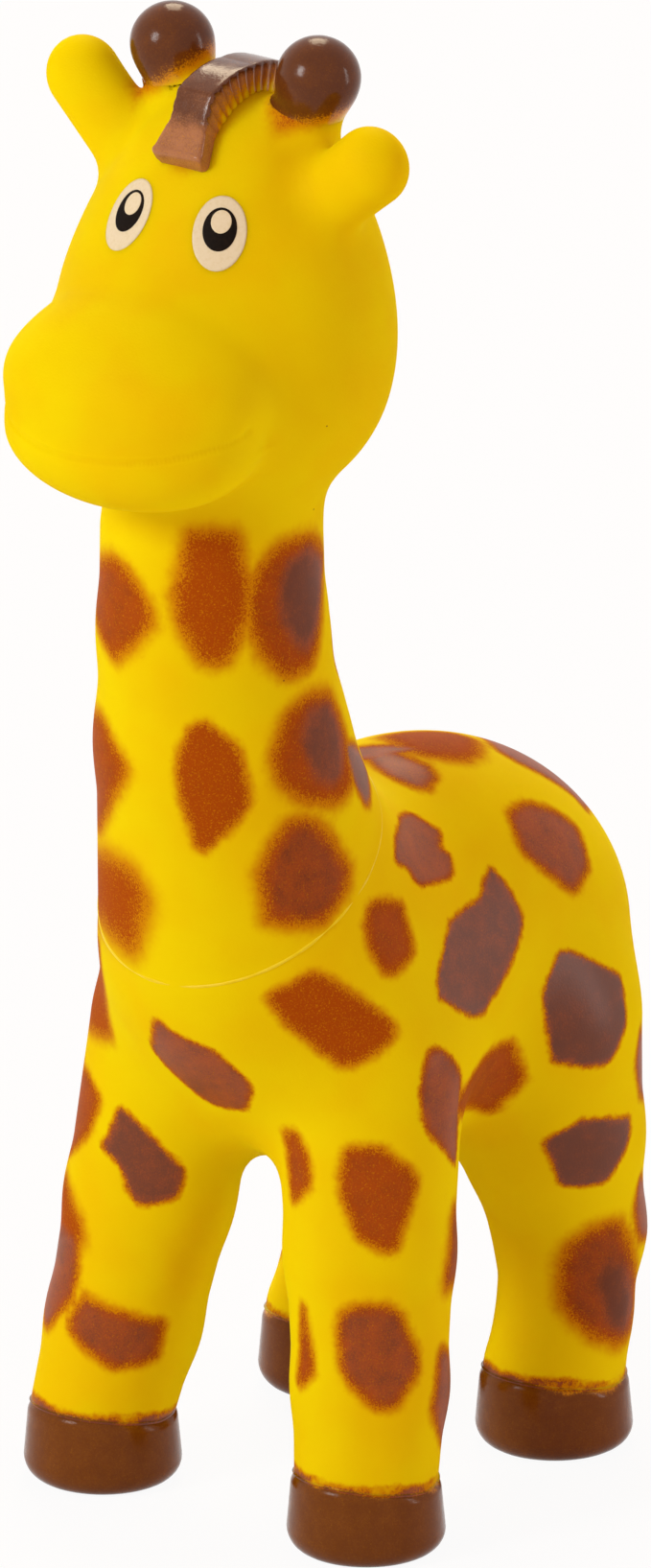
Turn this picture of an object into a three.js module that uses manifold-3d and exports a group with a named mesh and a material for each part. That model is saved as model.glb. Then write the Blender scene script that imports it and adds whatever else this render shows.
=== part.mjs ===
// A hollow soft vinyl giraffe standing on four short legs: a body moulding, a head and neck
// moulding plugged and glued into it along a slanting seam, and the painted areas of both.
// Millimetres, +Z up. The giraffe faces -Y, its left side is +X and its soles rest on z = 0.
import * as THREE from 'three';
import { mergeVertices } from 'three/addons/utils/BufferGeometryUtils.js';
import Module from 'manifold-3d';

// Skin and fits
const wall = 2.5;
const clearance = 0.3;
const plugClearance = 0.5;
const plugDepth = 8;
const glueThickness = 0.7;
const soleThickness = 3;

// Legs and hooves
const frontTrack = 43.4;
const rearTrack = 36;
const stanceLength = 45.8;
const hoofDiameter = 20.8;
const hoofHeight = 9.8;
const hoofEdgeRadius = 2.6;
const hoofRimRadius = 1.9;
const hoofTaper = 0.5;
const frontLegDiameter = 24.7;
const thighDiameter = 28.6;
const ankleDiameter = 18.8;

// Trunk
const trunkWidth = 49.4;
const trunkLength = 63;
const trunkDepth = 54.2;
const trunkHeight = 68.8;
const trunkBackset = 14.1;
const trunkTilt = -5.6;

// Neck
const neckRootDiameter = 40.9;
const neckTopDiameter = 28.9;
const seamTilt = 34.2;

// Head
const headHeight = 161.7;
const headForward = 24.8;
const headWidth = 46.4;
const headLength = 40.7;
const headDepth = 43.7;
const muzzleWidth = 38;
const muzzleLength = 23.5;
const muzzleDepth = 23.4;

// Ears and horns
const leftEarLength = 20.5;
const rightEarLength = 23;
const leftEarTilt = 40.3;
const rightEarTilt = 47.1;
const earWidth = 10.5;
const hornLength = 16.4;
const hornLean = 12.6;
const hornKnobDiameter = 10.4;
const hornStalkDiameter = 8.9;

// Eyes
const eyeSpacing = 14;
const eyeRise = 19.8;
const eyeWidth = 8;
const eyeTall = 9.8;
const eyeInlay = 1.4;
const pupilInlay = 0.5;

// Mane and tail
const maneWidth = 6;
const maneHeight = 4.2;
const maneRoot = 3;
const maneFlutePitch = 4;
const maneFluteDepth = 0.55;
const tailLength = 26;
const tailDiameter = 5.2;
const tuftDiameter = 7.2;
const tuftLength = 12;

// Blends where one rounded mass runs into the next
const rumpBlend = 6;
const chestBlend = 14;
const legBlend = 6;
const limbBlend = 2;
const neckBlend = 10;
const crownBlend = 14;
const muzzleBlend = 7;
const jawBlend = 2;
const chinBlend = 6;
const hornBlend = 3;

// Facet sizes of the sculpted skins
const bodyFacet = 4.8;
const headFacet = 4;
const fineFacet = 2.4;
const liningFacet = 6.6;

// Places and half sizes of the trunk's masses, from its middle, in its width, length and depth
const rumpPlaceShare = [0, 0.157, -0.013];
const rumpHalfShare = [0.466, 0.348, 0.396];
const chestPlaceShare = [0, -0.386, -0.014];
const chestHalfShare = [0.459, 0.297, 0.379];

// Leg stations from hip to ankle: how far down, how far back and how thick
const frontHipShare = [0.306, -0.441, -0.131];
const rearHipShare = [0.314, 0.115, -0.187];
const frontLegShares = [[0, 0, 1], [0.45, 0.009, 0.885], [0.78, 0.013, 0.81]];
const rearLegShares = [[0, 0, 1], [0.327, 0.049, 0.842], [0.62, 0.105, 0.683], [0.85, 0.063, 0.598]];

// Neck stations from root to top: how far up, how far forward and how thick
const neckRootShare = [0, -0.513, 0.213];
const neckTopShare = [0, -0.065, -0.565];
const neckShares = [[0.482, 0.047, 0.303], [0.764, 0.035, 0.041]];
const seamShare = 0.177;

// Places and half sizes of the head's masses, from its middle, in its width, length and depth
const crownPlaceShare = [0, 0.07, 0.39];
const crownHalfShare = [0.35, 0.3, 0.388];
const muzzlePlaceShare = [0, -0.475, -0.031];
const jawPlaceShare = [0, -0.482, -0.163];
const jawHalfShare = [0.475, 0.548, 0.396];
const hornRootShare = [0.208, 0.113, 0.601];
const hornWaistShare = 0.92;
const hornPaintShare = 0.4;
const earRootShare = [0.246, 0.026, 0.423];
const earRootThicknessShare = 0.94;
const earFlatShare = 0.82;
const pupilSizeShare = [0.6, 0.56];
const eyeReachShare = 0.35;

// Mane stations round the crown, as shares of the way from forehead to nape, and its height there
const maneStartAngle = 38;
const maneEndAngle = 180;
const maneRiseShares = [
  [0, 0.3], [0.03, 0.5], [0.134, 0.66], [0.208, 1.1], [0.366, 0.84], [0.47, 0.92], [0.569, 1.1], [0.694, 0.95],
  [1, 0.62],
];
const maneLowerEndShare = 0.437;
const maneNapeRiseShare = 0.62;
const maneFootWidthShare = 1.4;
const maneFootReachShare = 0.09;
const maneTopBandShare = 0.3;

// Tail: where it leaves the rump, and how it hangs
const tailRootShare = 0.3;
const tailStandoffShares = [-0.2, 0.08, 0.3, 0.56];
const tuftShares = [[0, 0.62], [0.12, 0.9], [0.35, 1], [0.65, 0.82], [0.88, 0.42]];

// Segment counts
const roundSegments = 20;
const tuftSegments = 10;
const edgeSegments = 3;
const hornProfileSteps = 7;
const eyeSegments = 9;

const finishes = {
  vinyl: { color: 0xf0d000, roughness: 0.45, metalness: 0 },
  glue: { color: 0xf4e27a, roughness: 0.3, metalness: 0 },
  hoof: { color: 0x5f3a1a, roughness: 0.35, metalness: 0 },
  horn: { color: 0x6b4226, roughness: 0.35, metalness: 0 },
  mane: { color: 0x7a4a2c, roughness: 0.4, metalness: 0 },
  eye: { color: 0xf3e8cf, roughness: 0.3, metalness: 0 },
  pupil: { color: 0x17110e, roughness: 0.25, metalness: 0 },
};

// How finely surfaces are searched for: halvings of a ray, moves of a skin corner, probe step
const rayHalvings = 30;
const settleMoves = 3;
const probeShare = 0.01;
const leastSlopeShare = 0.5;

const wasm = await Module();
wasm.setup();

const half = (length) => length / 2;
const vector = (x, y, z) => new THREE.Vector3(x, y, z);

// Distance fields: negative inside, near true distance close to the surface

function blend(a, b, width) {
  const overlap = Math.max(width - Math.abs(a - b), 0) / width;
  return Math.min(a, b) - (overlap * overlap * width) / 4;
}

function ellipsoid(centre, halfSizes, tilt = 0) {
  const turn = new THREE.Matrix4().makeRotationX(-THREE.MathUtils.degToRad(tilt));
  const q = vector(0, 0, 0);
  return (p) => {
    q.copy(p).sub(centre).applyMatrix4(turn);
    const near = q.divide(halfSizes).length();
    const slope = q.divide(halfSizes).length();
    return slope > 0 ? (near * (near - 1)) / slope : -Math.min(halfSizes.x, halfSizes.y, halfSizes.z);
  };
}

function taper(start, end, startRadius, endRadius) {
  const axis = vector(0, 0, 0).subVectors(end, start);
  const length = axis.length();
  axis.divideScalar(length);
  const sine = (startRadius - endRadius) / length;
  const cosine = Math.sqrt(1 - sine * sine);
  const q = vector(0, 0, 0);
  return (p) => {
    q.copy(p).sub(start);
    const along = q.dot(axis);
    const away = q.addScaledVector(axis, -along).length();
    const foot = along - (away * sine) / cosine;
    if (foot < 0) return Math.hypot(along, away) - startRadius;
    if (foot > length) return Math.hypot(along - length, away) - endRadius;
    return away * cosine + along * sine - startRadius;
  };
}

function limb(stations) {
  const parts = [];
  for (let i = 1; i < stations.length; i += 1) {
    const [start, startRadius] = stations[i - 1];
    const [end, endRadius] = stations[i];
    parts.push(taper(start, end, startRadius, endRadius));
  }
  return (p) => parts.map((part) => part(p)).reduce((a, b) => blend(a, b, limbBlend));
}

function mirrored(field) {
  const q = vector(0, 0, 0);
  return (p) => field(q.set(Math.abs(p.x), p.y, p.z));
}

function placed(middle, shares, sizes) {
  return vector(shares[0], shares[1], shares[2]).multiply(sizes).add(middle);
}

function scaled(shares, sizes) {
  return vector(shares[0], shares[1], shares[2]).multiply(sizes);
}

// Frames of the masses

const trunkSizes = vector(trunkWidth, trunkLength, trunkDepth);
const trunkMiddle = vector(0, trunkBackset, trunkHeight);
const headSizes = vector(headWidth, headLength, headDepth);
const headMiddle = vector(0, -headForward, headHeight);
const crownMiddle = placed(headMiddle, crownPlaceShare, headSizes);
const frontHoof = vector(half(frontTrack), -half(stanceLength), 0);
const rearHoof = vector(half(rearTrack), half(stanceLength), 0);

function legField(hip, hoof, diameter, shares) {
  const ankle = vector(hoof.x, hoof.y, hoofHeight);
  const height = hip.z - ankle.z;
  const stations = shares.map(([down, back, girth]) => {
    const at = vector(0, 0, 0).lerpVectors(hip, ankle, down);
    at.y += back * height;
    return [at, half(diameter) * girth];
  });
  stations.push([ankle, half(ankleDiameter)]);
  return mirrored(limb(stations));
}

const frontLeg = legField(
  placed(trunkMiddle, frontHipShare, trunkSizes), frontHoof, frontLegDiameter, frontLegShares,
);
const rearLeg = legField(
  placed(trunkMiddle, rearHipShare, trunkSizes), rearHoof, thighDiameter, rearLegShares,
);

function neckPoint(up, forward = 0) {
  const root = placed(trunkMiddle, neckRootShare, trunkSizes);
  const top = placed(headMiddle, neckTopShare, headSizes);
  const at = vector(0, 0, 0).lerpVectors(root, top, up);
  at.y -= forward * (top.z - root.z);
  return at;
}

function neckField() {
  const stations = [[neckPoint(0), half(neckRootDiameter)]];
  for (const [up, forward, girth] of neckShares) {
    const diameter = THREE.MathUtils.lerp(neckTopDiameter, neckRootDiameter, girth);
    stations.push([neckPoint(up, forward), half(diameter)]);
  }
  stations.push([neckPoint(1), half(neckTopDiameter)]);
  return limb(stations);
}

function trunkField() {
  const rumpMiddle = placed(trunkMiddle, rumpPlaceShare, trunkSizes);
  const chestMiddle = placed(trunkMiddle, chestPlaceShare, trunkSizes);
  const barrel = ellipsoid(trunkMiddle, trunkSizes.clone().divideScalar(2), trunkTilt);
  const rump = ellipsoid(rumpMiddle, scaled(rumpHalfShare, trunkSizes));
  const chest = ellipsoid(chestMiddle, scaled(chestHalfShare, trunkSizes));
  return (p) => {
    let d = blend(barrel(p), rump(p), rumpBlend);
    d = blend(d, chest(p), chestBlend);
    d = blend(d, frontLeg(p), legBlend);
    return blend(d, rearLeg(p), legBlend);
  };
}

const muzzleSizes = vector(muzzleWidth, muzzleLength, muzzleDepth);

function faceField() {
  const muzzleMiddle = placed(headMiddle, muzzlePlaceShare, headSizes);
  const jawMiddle = placed(headMiddle, jawPlaceShare, headSizes);
  const skull = ellipsoid(headMiddle, headSizes.clone().divideScalar(2));
  const crown = ellipsoid(crownMiddle, scaled(crownHalfShare, headSizes));
  const muzzle = ellipsoid(muzzleMiddle, muzzleSizes.clone().divideScalar(2));
  const jaw = ellipsoid(jawMiddle, scaled(jawHalfShare, muzzleSizes));
  return (p) => {
    let d = blend(skull(p), crown(p), crownBlend);
    d = blend(d, muzzle(p), muzzleBlend);
    return blend(d, jaw(p), jawBlend);
  };
}

// Horns lean outwards from their roots inside the crown

const hornRoot = placed(headMiddle, hornRootShare, headSizes);
const hornAngle = THREE.MathUtils.degToRad(hornLean);
const hornAxis = vector(Math.sin(hornAngle), 0, Math.cos(hornAngle));

function hornRadiusAt(distance) {
  const knobRadius = half(hornKnobDiameter);
  const knobAt = hornLength - knobRadius;
  const waist = half(hornStalkDiameter) * hornWaistShare;
  const stalk = THREE.MathUtils.lerp(waist, half(hornStalkDiameter), Math.min(distance / knobAt, 1));
  const off = distance - knobAt;
  const knob = Math.sqrt(Math.max(knobRadius * knobRadius - off * off, 0));
  return distance > knobAt ? knob : Math.max(stalk, knob);
}

function hornStubField() {
  const end = hornRoot.clone().addScaledVector(hornAxis, hornLength - half(hornKnobDiameter));
  return mirrored(taper(hornRoot, end, half(hornStalkDiameter) * hornWaistShare, half(hornStalkDiameter)));
}

// An ear is a flattened leaf, thickest at its round tip
function earEnds(side, length, tilt) {
  const angle = THREE.MathUtils.degToRad(tilt);
  const root = placed(headMiddle, earRootShare, headSizes);
  root.x *= side;
  const reach = length - half(earWidth);
  const tip = root.clone().add(vector(side * Math.cos(angle), 0, Math.sin(angle)).multiplyScalar(reach));
  return [root, tip];
}

function earSkin(side, length, tilt) {
  const [root, tip] = earEnds(side, length, tilt);
  const leaf = taper(root, tip, half(earWidth) * earRootThicknessShare, half(earWidth));
  const q = vector(0, 0, 0);
  const field = (p) => leaf(q.set(p.x, root.y + (p.y - root.y) / earFlatShare, p.z)) * earFlatShare;
  return fineSkin(field, [root, tip], earWidth);
}

// The trunk without its tail, then the tail hanging close against the rump

const bareTrunk = trunkField();
const neck = neckField();
const face = faceField();

function surfaceAlong(field, origin, direction, reach) {
  let near = 0;
  let far = reach;
  const p = vector(0, 0, 0);
  for (let i = 0; i < rayHalvings; i += 1) {
    const middle = (near + far) / 2;
    if (field(p.copy(origin).addScaledVector(direction, middle)) < 0) near = middle;
    else far = middle;
  }
  return origin.clone().addScaledVector(direction, near);
}

function slopeAt(field, at, step) {
  const q = vector(0, 0, 0);
  const change = [0, 1, 2].map((axis) => {
    const here = at.getComponent(axis);
    const ahead = field(q.copy(at).setComponent(axis, here + step));
    return (ahead - field(q.copy(at).setComponent(axis, here - step))) / (2 * step);
  });
  return vector(...change);
}

const backwards = vector(0, 1, 0);
const forwards = vector(0, -1, 0);
const upwards = vector(0, 0, 1);

function tailStations() {
  const top = trunkMiddle.z + tailRootShare * trunkDepth;
  const drop = tailLength / (tailStandoffShares.length - 1);
  return tailStandoffShares.map((standoff, i) => {
    const inside = vector(0, trunkMiddle.y, top - i * drop);
    const at = surfaceAlong(bareTrunk, inside, backwards, trunkLength);
    at.y += standoff * tuftDiameter;
    return at;
  });
}

const tailPoints = tailStations();
const tailField = limb(tailPoints.map((at) => [at, half(tailDiameter)]));

// The whole figure without horns, ears and tail: its skin, and inside that its lining, which
// leaves ears and horns solid, as vinyl fills such narrow places
const figureField = (p) => blend(blend(bareTrunk(p), neck(p), neckBlend), face(p), chinBlend);

const hornStub = hornStubField();
const headField = (p) => blend(figureField(p), hornStub(p), hornBlend);

// Skin of a field as a closed mesh of quads, one corner in each cell that the surface crosses

const cellCorners = [];
for (const up of [0, 1]) {
  for (const back of [0, 1]) {
    for (const right of [0, 1]) cellCorners.push([right, back, up]);
  }
}
const cellEdges = [];
for (let c = 0; c < cellCorners.length; c += 1) {
  for (let axis = 0; axis < 3; axis += 1) {
    if (!cellCorners[c][axis]) cellEdges.push([c, c + (1 << axis)]);
  }
}

function connected(corners) {
  const left = new Set(corners);
  const queue = corners.slice(0, 1);
  left.delete(queue[0]);
  while (queue.length) {
    const at = queue.pop();
    for (const [a, b] of cellEdges) {
      const next = a === at ? b : a;
      if ((a === at || b === at) && left.has(next)) {
        left.delete(next);
        queue.push(next);
      }
    }
  }
  return left.size === 0;
}

function skin(field, level, low, high, facet) {
  const counts = [0, 1, 2].map((axis) => {
    const span = high.getComponent(axis) - low.getComponent(axis);
    return Math.ceil(span / facet) + 1;
  });
  const index = (i, j, k) => i + counts[0] * (j + counts[1] * k);
  const values = new Float64Array(counts[0] * counts[1] * counts[2]);
  const p = vector(0, 0, 0);
  const corner = (i, j, k) => p.set(i, j, k).multiplyScalar(facet).add(low);
  for (let k = 0; k < counts[2]; k += 1) {
    for (let j = 0; j < counts[1]; j += 1) {
      for (let i = 0; i < counts[0]; i += 1) {
        const rim = !i || !j || !k || i === counts[0] - 1 || j === counts[1] - 1 || k === counts[2] - 1;
        const d = field(corner(i, j, k)) - level;
        values[index(i, j, k)] = rim ? Math.max(Math.abs(d), facet) : d;
      }
    }
  }
  const cornerIndex = (i, j, k, c) => {
    const [right, back, up] = cellCorners[c];
    return index(i + right, j + back, k + up);
  };
  const cells = [];
  for (let k = 0; k < counts[2] - 1; k += 1) {
    for (let j = 0; j < counts[1] - 1; j += 1) {
      for (let i = 0; i < counts[0] - 1; i += 1) cells.push([i, j, k]);
    }
  }
  untangle(values, cells, cornerIndex, facet);

  const cornerOf = new Map();
  const positions = [];
  for (const [i, j, k] of cells) {
    const middle = crossingMiddle(values, (c) => cornerIndex(i, j, k, c), (c) => corner(
      i + cellCorners[c][0], j + cellCorners[c][1], k + cellCorners[c][2],
    ));
    if (middle) {
      settle(middle, field, level, corner(i, j, k).clone(), facet);
      cornerOf.set(index(i, j, k), positions.length / 3);
      positions.push(middle.x, middle.y, middle.z);
    }
  }
  const triangles = [];
  const strides = [1, counts[0], counts[0] * counts[1]];
  for (const [i, j, k] of cells) {
    const here = index(i, j, k);
    for (let axis = 0; axis < 3; axis += 1) {
      const u = strides[(axis + 1) % 3];
      const v = strides[(axis + 2) % 3];
      const inside = values[here] < 0;
      if (inside !== values[here + strides[axis]] < 0) {
        const quad = [here, here - u, here - u - v, here - v].map((cell) => cornerOf.get(cell));
        addQuad(triangles, positions, inside ? quad : quad.reverse());
      }
    }
  }
  const geometry = new THREE.BufferGeometry();
  geometry.setAttribute('position', new THREE.Float32BufferAttribute(positions, 3));
  geometry.setIndex(triangles);
  return geometry;
}

// Fills in the few corners whose cell would otherwise hold two sheets of skin
function untangle(values, cells, cornerIndex, facet) {
  for (let changed = true; changed;) {
    changed = false;
    for (const [i, j, k] of cells) {
      const corners = [...cellCorners.keys()];
      const inside = corners.filter((c) => values[cornerIndex(i, j, k, c)] < 0);
      const outside = corners.filter((c) => !inside.includes(c));
      if (inside.length && outside.length && !(connected(inside) && connected(outside))) {
        let nearest = outside[0];
        for (const c of outside) {
          if (values[cornerIndex(i, j, k, c)] < values[cornerIndex(i, j, k, nearest)]) nearest = c;
        }
        values[cornerIndex(i, j, k, nearest)] = -facet * Number.EPSILON;
        changed = true;
      }
    }
  }
}

function crossingMiddle(values, cornerAt, pointAt) {
  const sum = vector(0, 0, 0);
  let count = 0;
  for (const [a, b] of cellEdges) {
    const va = values[cornerAt(a)];
    const vb = values[cornerAt(b)];
    if (va < 0 !== vb < 0) {
      const start = pointAt(a).clone();
      sum.add(start.lerp(pointAt(b), va / (va - vb)));
      count += 1;
    }
  }
  return count ? sum.divideScalar(count) : null;
}

// Moves a corner onto the level of the field, without leaving its cell
function settle(at, field, level, cellLow, facet) {
  const cellHigh = cellLow.clone().addScalar(facet);
  for (let move = 0; move < settleMoves; move += 1) {
    const slope = slopeAt(field, at, facet * probeShare);
    const steep = Math.max(slope.lengthSq(), leastSlopeShare ** 2);
    at.addScaledVector(slope, -(field(at) - level) / steep);
    at.clamp(cellLow, cellHigh);
  }
}

function addQuad(triangles, positions, [a, b, c, d]) {
  const at = (n) => vector(...positions.slice(3 * n, 3 * n + 3));
  if (at(a).distanceTo(at(c)) < at(b).distanceTo(at(d))) triangles.push(a, b, c, a, c, d);
  else triangles.push(a, b, d, b, c, d);
}

// Solids

function solid(geometry) {
  const bare = geometry.clone();
  bare.deleteAttribute('normal');
  bare.deleteAttribute('uv');
  const merged = mergeVertices(bare);
  return new wasm.Manifold(new wasm.Mesh({
    numProp: 3,
    vertProperties: new Float32Array(merged.attributes.position.array),
    triVerts: new Uint32Array(merged.index.array),
  }));
}

function pieceMesh(name, body, finish) {
  const mesh = body.getMesh();
  const geometry = new THREE.BufferGeometry();
  geometry.setAttribute('position', new THREE.Float32BufferAttribute(mesh.vertProperties, 3));
  geometry.setIndex([...mesh.triVerts]);
  const piece = new THREE.Mesh(geometry, new THREE.MeshStandardMaterial(finish));
  piece.name = name;
  return piece;
}

const overallReach = headHeight + headDepth;

// Everything between two planes that lie square to the slanting neck seam
function seamSlab(low, high) {
  const slab = new THREE.BoxGeometry(overallReach * 2, overallReach * 2, high - low);
  slab.translate(0, 0, half(low + high));
  slab.rotateX(THREE.MathUtils.degToRad(seamTilt));
  const at = neckPoint(seamShare);
  slab.translate(at.x, at.y, at.z);
  return solid(slab);
}

function groundSlab(low, high) {
  const slab = new THREE.BoxGeometry(overallReach * 2, overallReach * 2, high - low);
  slab.translate(0, 0, half(low + high));
  return solid(slab);
}

// The skins are searched for in boxes that reach past the largest masses on every side
const skinReach = vector(
  half(Math.max(frontTrack, rearTrack, trunkWidth) + hoofDiameter) + bodyFacet,
  half(Math.max(stanceLength, trunkLength)) + trunkBackset + hoofDiameter + tuftDiameter,
  0,
);
const seamMiddle = neckPoint(seamShare);
const seamRise = Math.tan(THREE.MathUtils.degToRad(seamTilt)) * neckRootDiameter;
const bodyLow = vector(-skinReach.x, -skinReach.y, -bodyFacet);
const bodyHigh = vector(skinReach.x, skinReach.y, seamMiddle.z + seamRise);
const headSide = half(Math.max(neckRootDiameter, headWidth)) + Math.max(leftEarLength, rightEarLength);
const headLow = vector(
  -headSide, -(headForward + headLength + muzzleLength), seamMiddle.z - seamRise - plugDepth,
);
const headHigh = vector(headSide, headLength, headHeight + headDepth + hornLength);

const seamEdge = half(glueThickness) + clearance;
const liningHigh = vector(headHigh.x, bodyHigh.y, headHigh.z);
const bodySkin = solid(skin(figureField, 0, bodyLow, bodyHigh, bodyFacet));
const headSkin = solid(skin(headField, 0, headLow, headHigh, headFacet));
const innerSkin = solid(skin(figureField, -wall, bodyLow, liningHigh, liningFacet));
const plugOuter = solid(skin(figureField, -(wall + plugClearance), headLow, headHigh, liningFacet));
const plugInner = solid(skin(figureField, -(wall + plugClearance + wall), headLow, headHigh, liningFacet));

// A small limb's own skin, in a box one limb's width past its ends
function fineSkin(field, ends, width) {
  const box = new THREE.Box3().setFromPoints(ends).expandByScalar(width);
  return solid(skin(field, 0, box.min, box.max, fineFacet));
}

// Turned pieces

function turned(points, segments = roundSegments) {
  const profile = points.map(([radius, along]) => new THREE.Vector2(radius, along));
  const geometry = new THREE.LatheGeometry(profile, segments);
  geometry.rotateX(Math.PI / 2);
  return geometry;
}

function arc(middleRadius, middleAlong, radius, fromAngle, toAngle) {
  const points = [];
  for (let i = 0; i <= edgeSegments; i += 1) {
    const angle = THREE.MathUtils.degToRad(THREE.MathUtils.lerp(fromAngle, toAngle, i / edgeSegments));
    points.push([middleRadius + radius * Math.cos(angle), middleAlong + radius * Math.sin(angle)]);
  }
  return points;
}

function hoofGeometry() {
  const outer = half(hoofDiameter);
  const cavity = half(ankleDiameter) - wall;
  return turned([
    [0, 0],
    ...arc(outer - hoofEdgeRadius, hoofEdgeRadius, hoofEdgeRadius, -90, 0),
    ...arc(outer - hoofTaper - hoofRimRadius, hoofHeight - hoofRimRadius, hoofRimRadius, 0, 90),
    [cavity, hoofHeight],
    [cavity, soleThickness],
    [0, soleThickness],
  ]);
}

function hornGeometry(grow) {
  const start = hornPaintShare * hornLength - grow;
  const points = [[0, start]];
  for (let i = 0; i < hornProfileSteps; i += 1) {
    const share = Math.sin((i / hornProfileSteps) * (Math.PI / 2));
    const at = THREE.MathUtils.lerp(hornPaintShare, 1, share) * hornLength;
    points.push([hornRadiusAt(at) + grow, i ? at : start]);
  }
  points.push([0, hornLength + grow]);
  return turned(points);
}

function placeHorn(geometry, side) {
  geometry.rotateY(side * hornAngle);
  geometry.translate(side * hornRoot.x, hornRoot.y, hornRoot.z);
  return solid(geometry);
}

const tailEnd = tailPoints[tailPoints.length - 1];
const tailBefore = tailPoints[tailPoints.length - 2];

function tuftSolid(grow) {
  const points = [[0, -grow]];
  for (const [along, girth] of tuftShares) {
    points.push([half(tuftDiameter) * girth + grow, along ? along * tuftLength : -grow]);
  }
  points.push([0, tuftLength + grow]);
  const geometry = turned(points, tuftSegments);
  const direction = vector(0, 0, 0).subVectors(tailEnd, tailBefore).normalize();
  geometry.applyQuaternion(new THREE.Quaternion().setFromUnitVectors(upwards, direction));
  geometry.translate(tailEnd.x, tailEnd.y, tailEnd.z);
  return solid(geometry);
}

// Eyes: thin inlays, square to the face at the middle of each eye

function eyeFrame(side) {
  const inside = vector(side * half(eyeSpacing), headMiddle.y, headMiddle.z + eyeRise);
  const at = surfaceAlong(face, inside, forwards, headLength);
  const out = slopeAt(face, at, wall * probeShare).normalize();
  const sideways = upwards.clone().cross(out).normalize();
  return new THREE.Matrix4().makeBasis(sideways, out.clone().cross(sideways), out).setPosition(at);
}

function ovalPlug(frame, width, tall, depth) {
  const outline = new THREE.Shape();
  outline.absellipse(0, 0, half(width), half(tall), 0, Math.PI * 2);
  const reach = eyeReachShare * eyeTall;
  const geometry = new THREE.ExtrudeGeometry(outline, {
    depth: depth + reach, bevelEnabled: false, curveSegments: eyeSegments,
  });
  geometry.translate(0, 0, -depth);
  geometry.applyMatrix4(frame);
  return solid(geometry);
}

function ovalPocket(frame, width, tall, depth) {
  return ovalPlug(frame, width + clearance * 2, tall + clearance * 2, depth + clearance);
}

// Mane: a crest over the crown and down the nape, its sides fluted into locks

function maneStations() {
  const stations = [];
  const crownRadius = crownHalfShare[2] * headDepth;
  const sweep = THREE.MathUtils.degToRad(maneEndAngle - maneStartAngle);
  const crownSteps = Math.round((sweep * crownRadius) / half(maneFlutePitch));
  const napeEnd = neckPoint(maneLowerEndShare);
  const napeSteps = Math.round((crownMiddle.z - napeEnd.z) / half(maneFlutePitch));
  for (let i = 0; i <= crownSteps; i += 1) {
    const share = i / crownSteps;
    const angle = THREE.MathUtils.degToRad(maneStartAngle) + share * sweep;
    const out = vector(0, -Math.cos(angle), Math.sin(angle));
    const at = surfaceAlong(figureField, crownMiddle, out, overallReach);
    stations.push({ at, out, rise: riseAt(share), share });
  }
  for (let i = 1; i <= napeSteps; i += 1) {
    const inside = vector(0, 0, 0).lerpVectors(crownMiddle, napeEnd, i / napeSteps);
    const at = surfaceAlong(figureField, inside, backwards, half(headLength) + maneHeight);
    stations.push({ at, out: backwards, rise: maneNapeRiseShare, share: 1 });
  }
  return stations;
}

function riseAt(share) {
  for (let i = 1; i < maneRiseShares.length; i += 1) {
    const [from, low] = maneRiseShares[i - 1];
    const [to, high] = maneRiseShares[i];
    if (share <= to) return THREE.MathUtils.mapLinear(share, from, to, low, high);
  }
  return maneNapeRiseShare;
}

function maneGeometry() {
  const positions = [];
  const rings = maneStations();
  const band = maneTopBandShare * maneHeight;
  rings.forEach(({ at, out, rise, share }, i) => {
    const widening = Math.max(1 - share / maneFootReachShare, 0) * (maneFootWidthShare - 1);
    const halfWidth = half(maneWidth) * (1 + widening);
    const flute = i % 2 ? maneFluteDepth : 0;
    const top = rise * maneHeight;
    const section = [
      [halfWidth - flute, -maneRoot],
      [halfWidth - flute, top - band - maneFluteDepth],
      [halfWidth, top - band],
      [halfWidth - maneFluteDepth, top],
    ];
    const ring = [...section, ...section.map(([x, h]) => [-x, h]).reverse()];
    for (const [x, h] of ring) {
      const p = at.clone().addScaledVector(out, h);
      positions.push(x, p.y, p.z);
    }
  });
  const around = positions.length / 3 / rings.length;
  const triangles = [];
  for (let i = 0; i + 1 < rings.length; i += 1) {
    for (let j = 0; j < around; j += 1) {
      const a = i * around + j;
      const b = i * around + ((j + 1) % around);
      triangles.push(a, a + around, b, b, a + around, b + around);
    }
  }
  const last = (rings.length - 1) * around;
  for (let j = 1; j + 1 < around; j += 1) triangles.push(0, j, j + 1, last, last + j + 1, last + j);
  const geometry = new THREE.BufferGeometry();
  geometry.setAttribute('position', new THREE.Float32BufferAttribute(positions, 3));
  geometry.setIndex(triangles);
  return geometry;
}

// The pieces

function bodyShell() {
  const trimmed = bodySkin.intersect(seamSlab(-overallReach, -seamEdge));
  const cut = trimmed.intersect(groundSlab(hoofHeight + clearance, overallReach));
  const tail = fineSkin(tailField, tailPoints, tailDiameter);
  return cut.add(tail).subtract(innerSkin).subtract(tuftSolid(clearance));
}

function headShell(eyes) {
  const upper = headSkin.intersect(seamSlab(seamEdge, overallReach * 2))
    .add(earSkin(1, leftEarLength, leftEarTilt))
    .add(earSkin(-1, rightEarLength, rightEarTilt));
  const cavity = innerSkin.intersect(seamSlab(seamEdge + wall, overallReach * 2));
  const plug = plugOuter.intersect(seamSlab(-plugDepth, seamEdge + wall));
  const bore = plugInner.intersect(seamSlab(-plugDepth - wall, seamEdge + wall + clearance));
  let shell = upper.subtract(cavity).add(plug).subtract(bore);
  for (const side of [1, -1]) shell = shell.subtract(placeHorn(hornGeometry(clearance), side));
  for (const { frame } of eyes) {
    shell = shell.subtract(ovalPocket(frame, eyeWidth, eyeTall, eyeInlay));
  }
  return shell;
}

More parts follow.
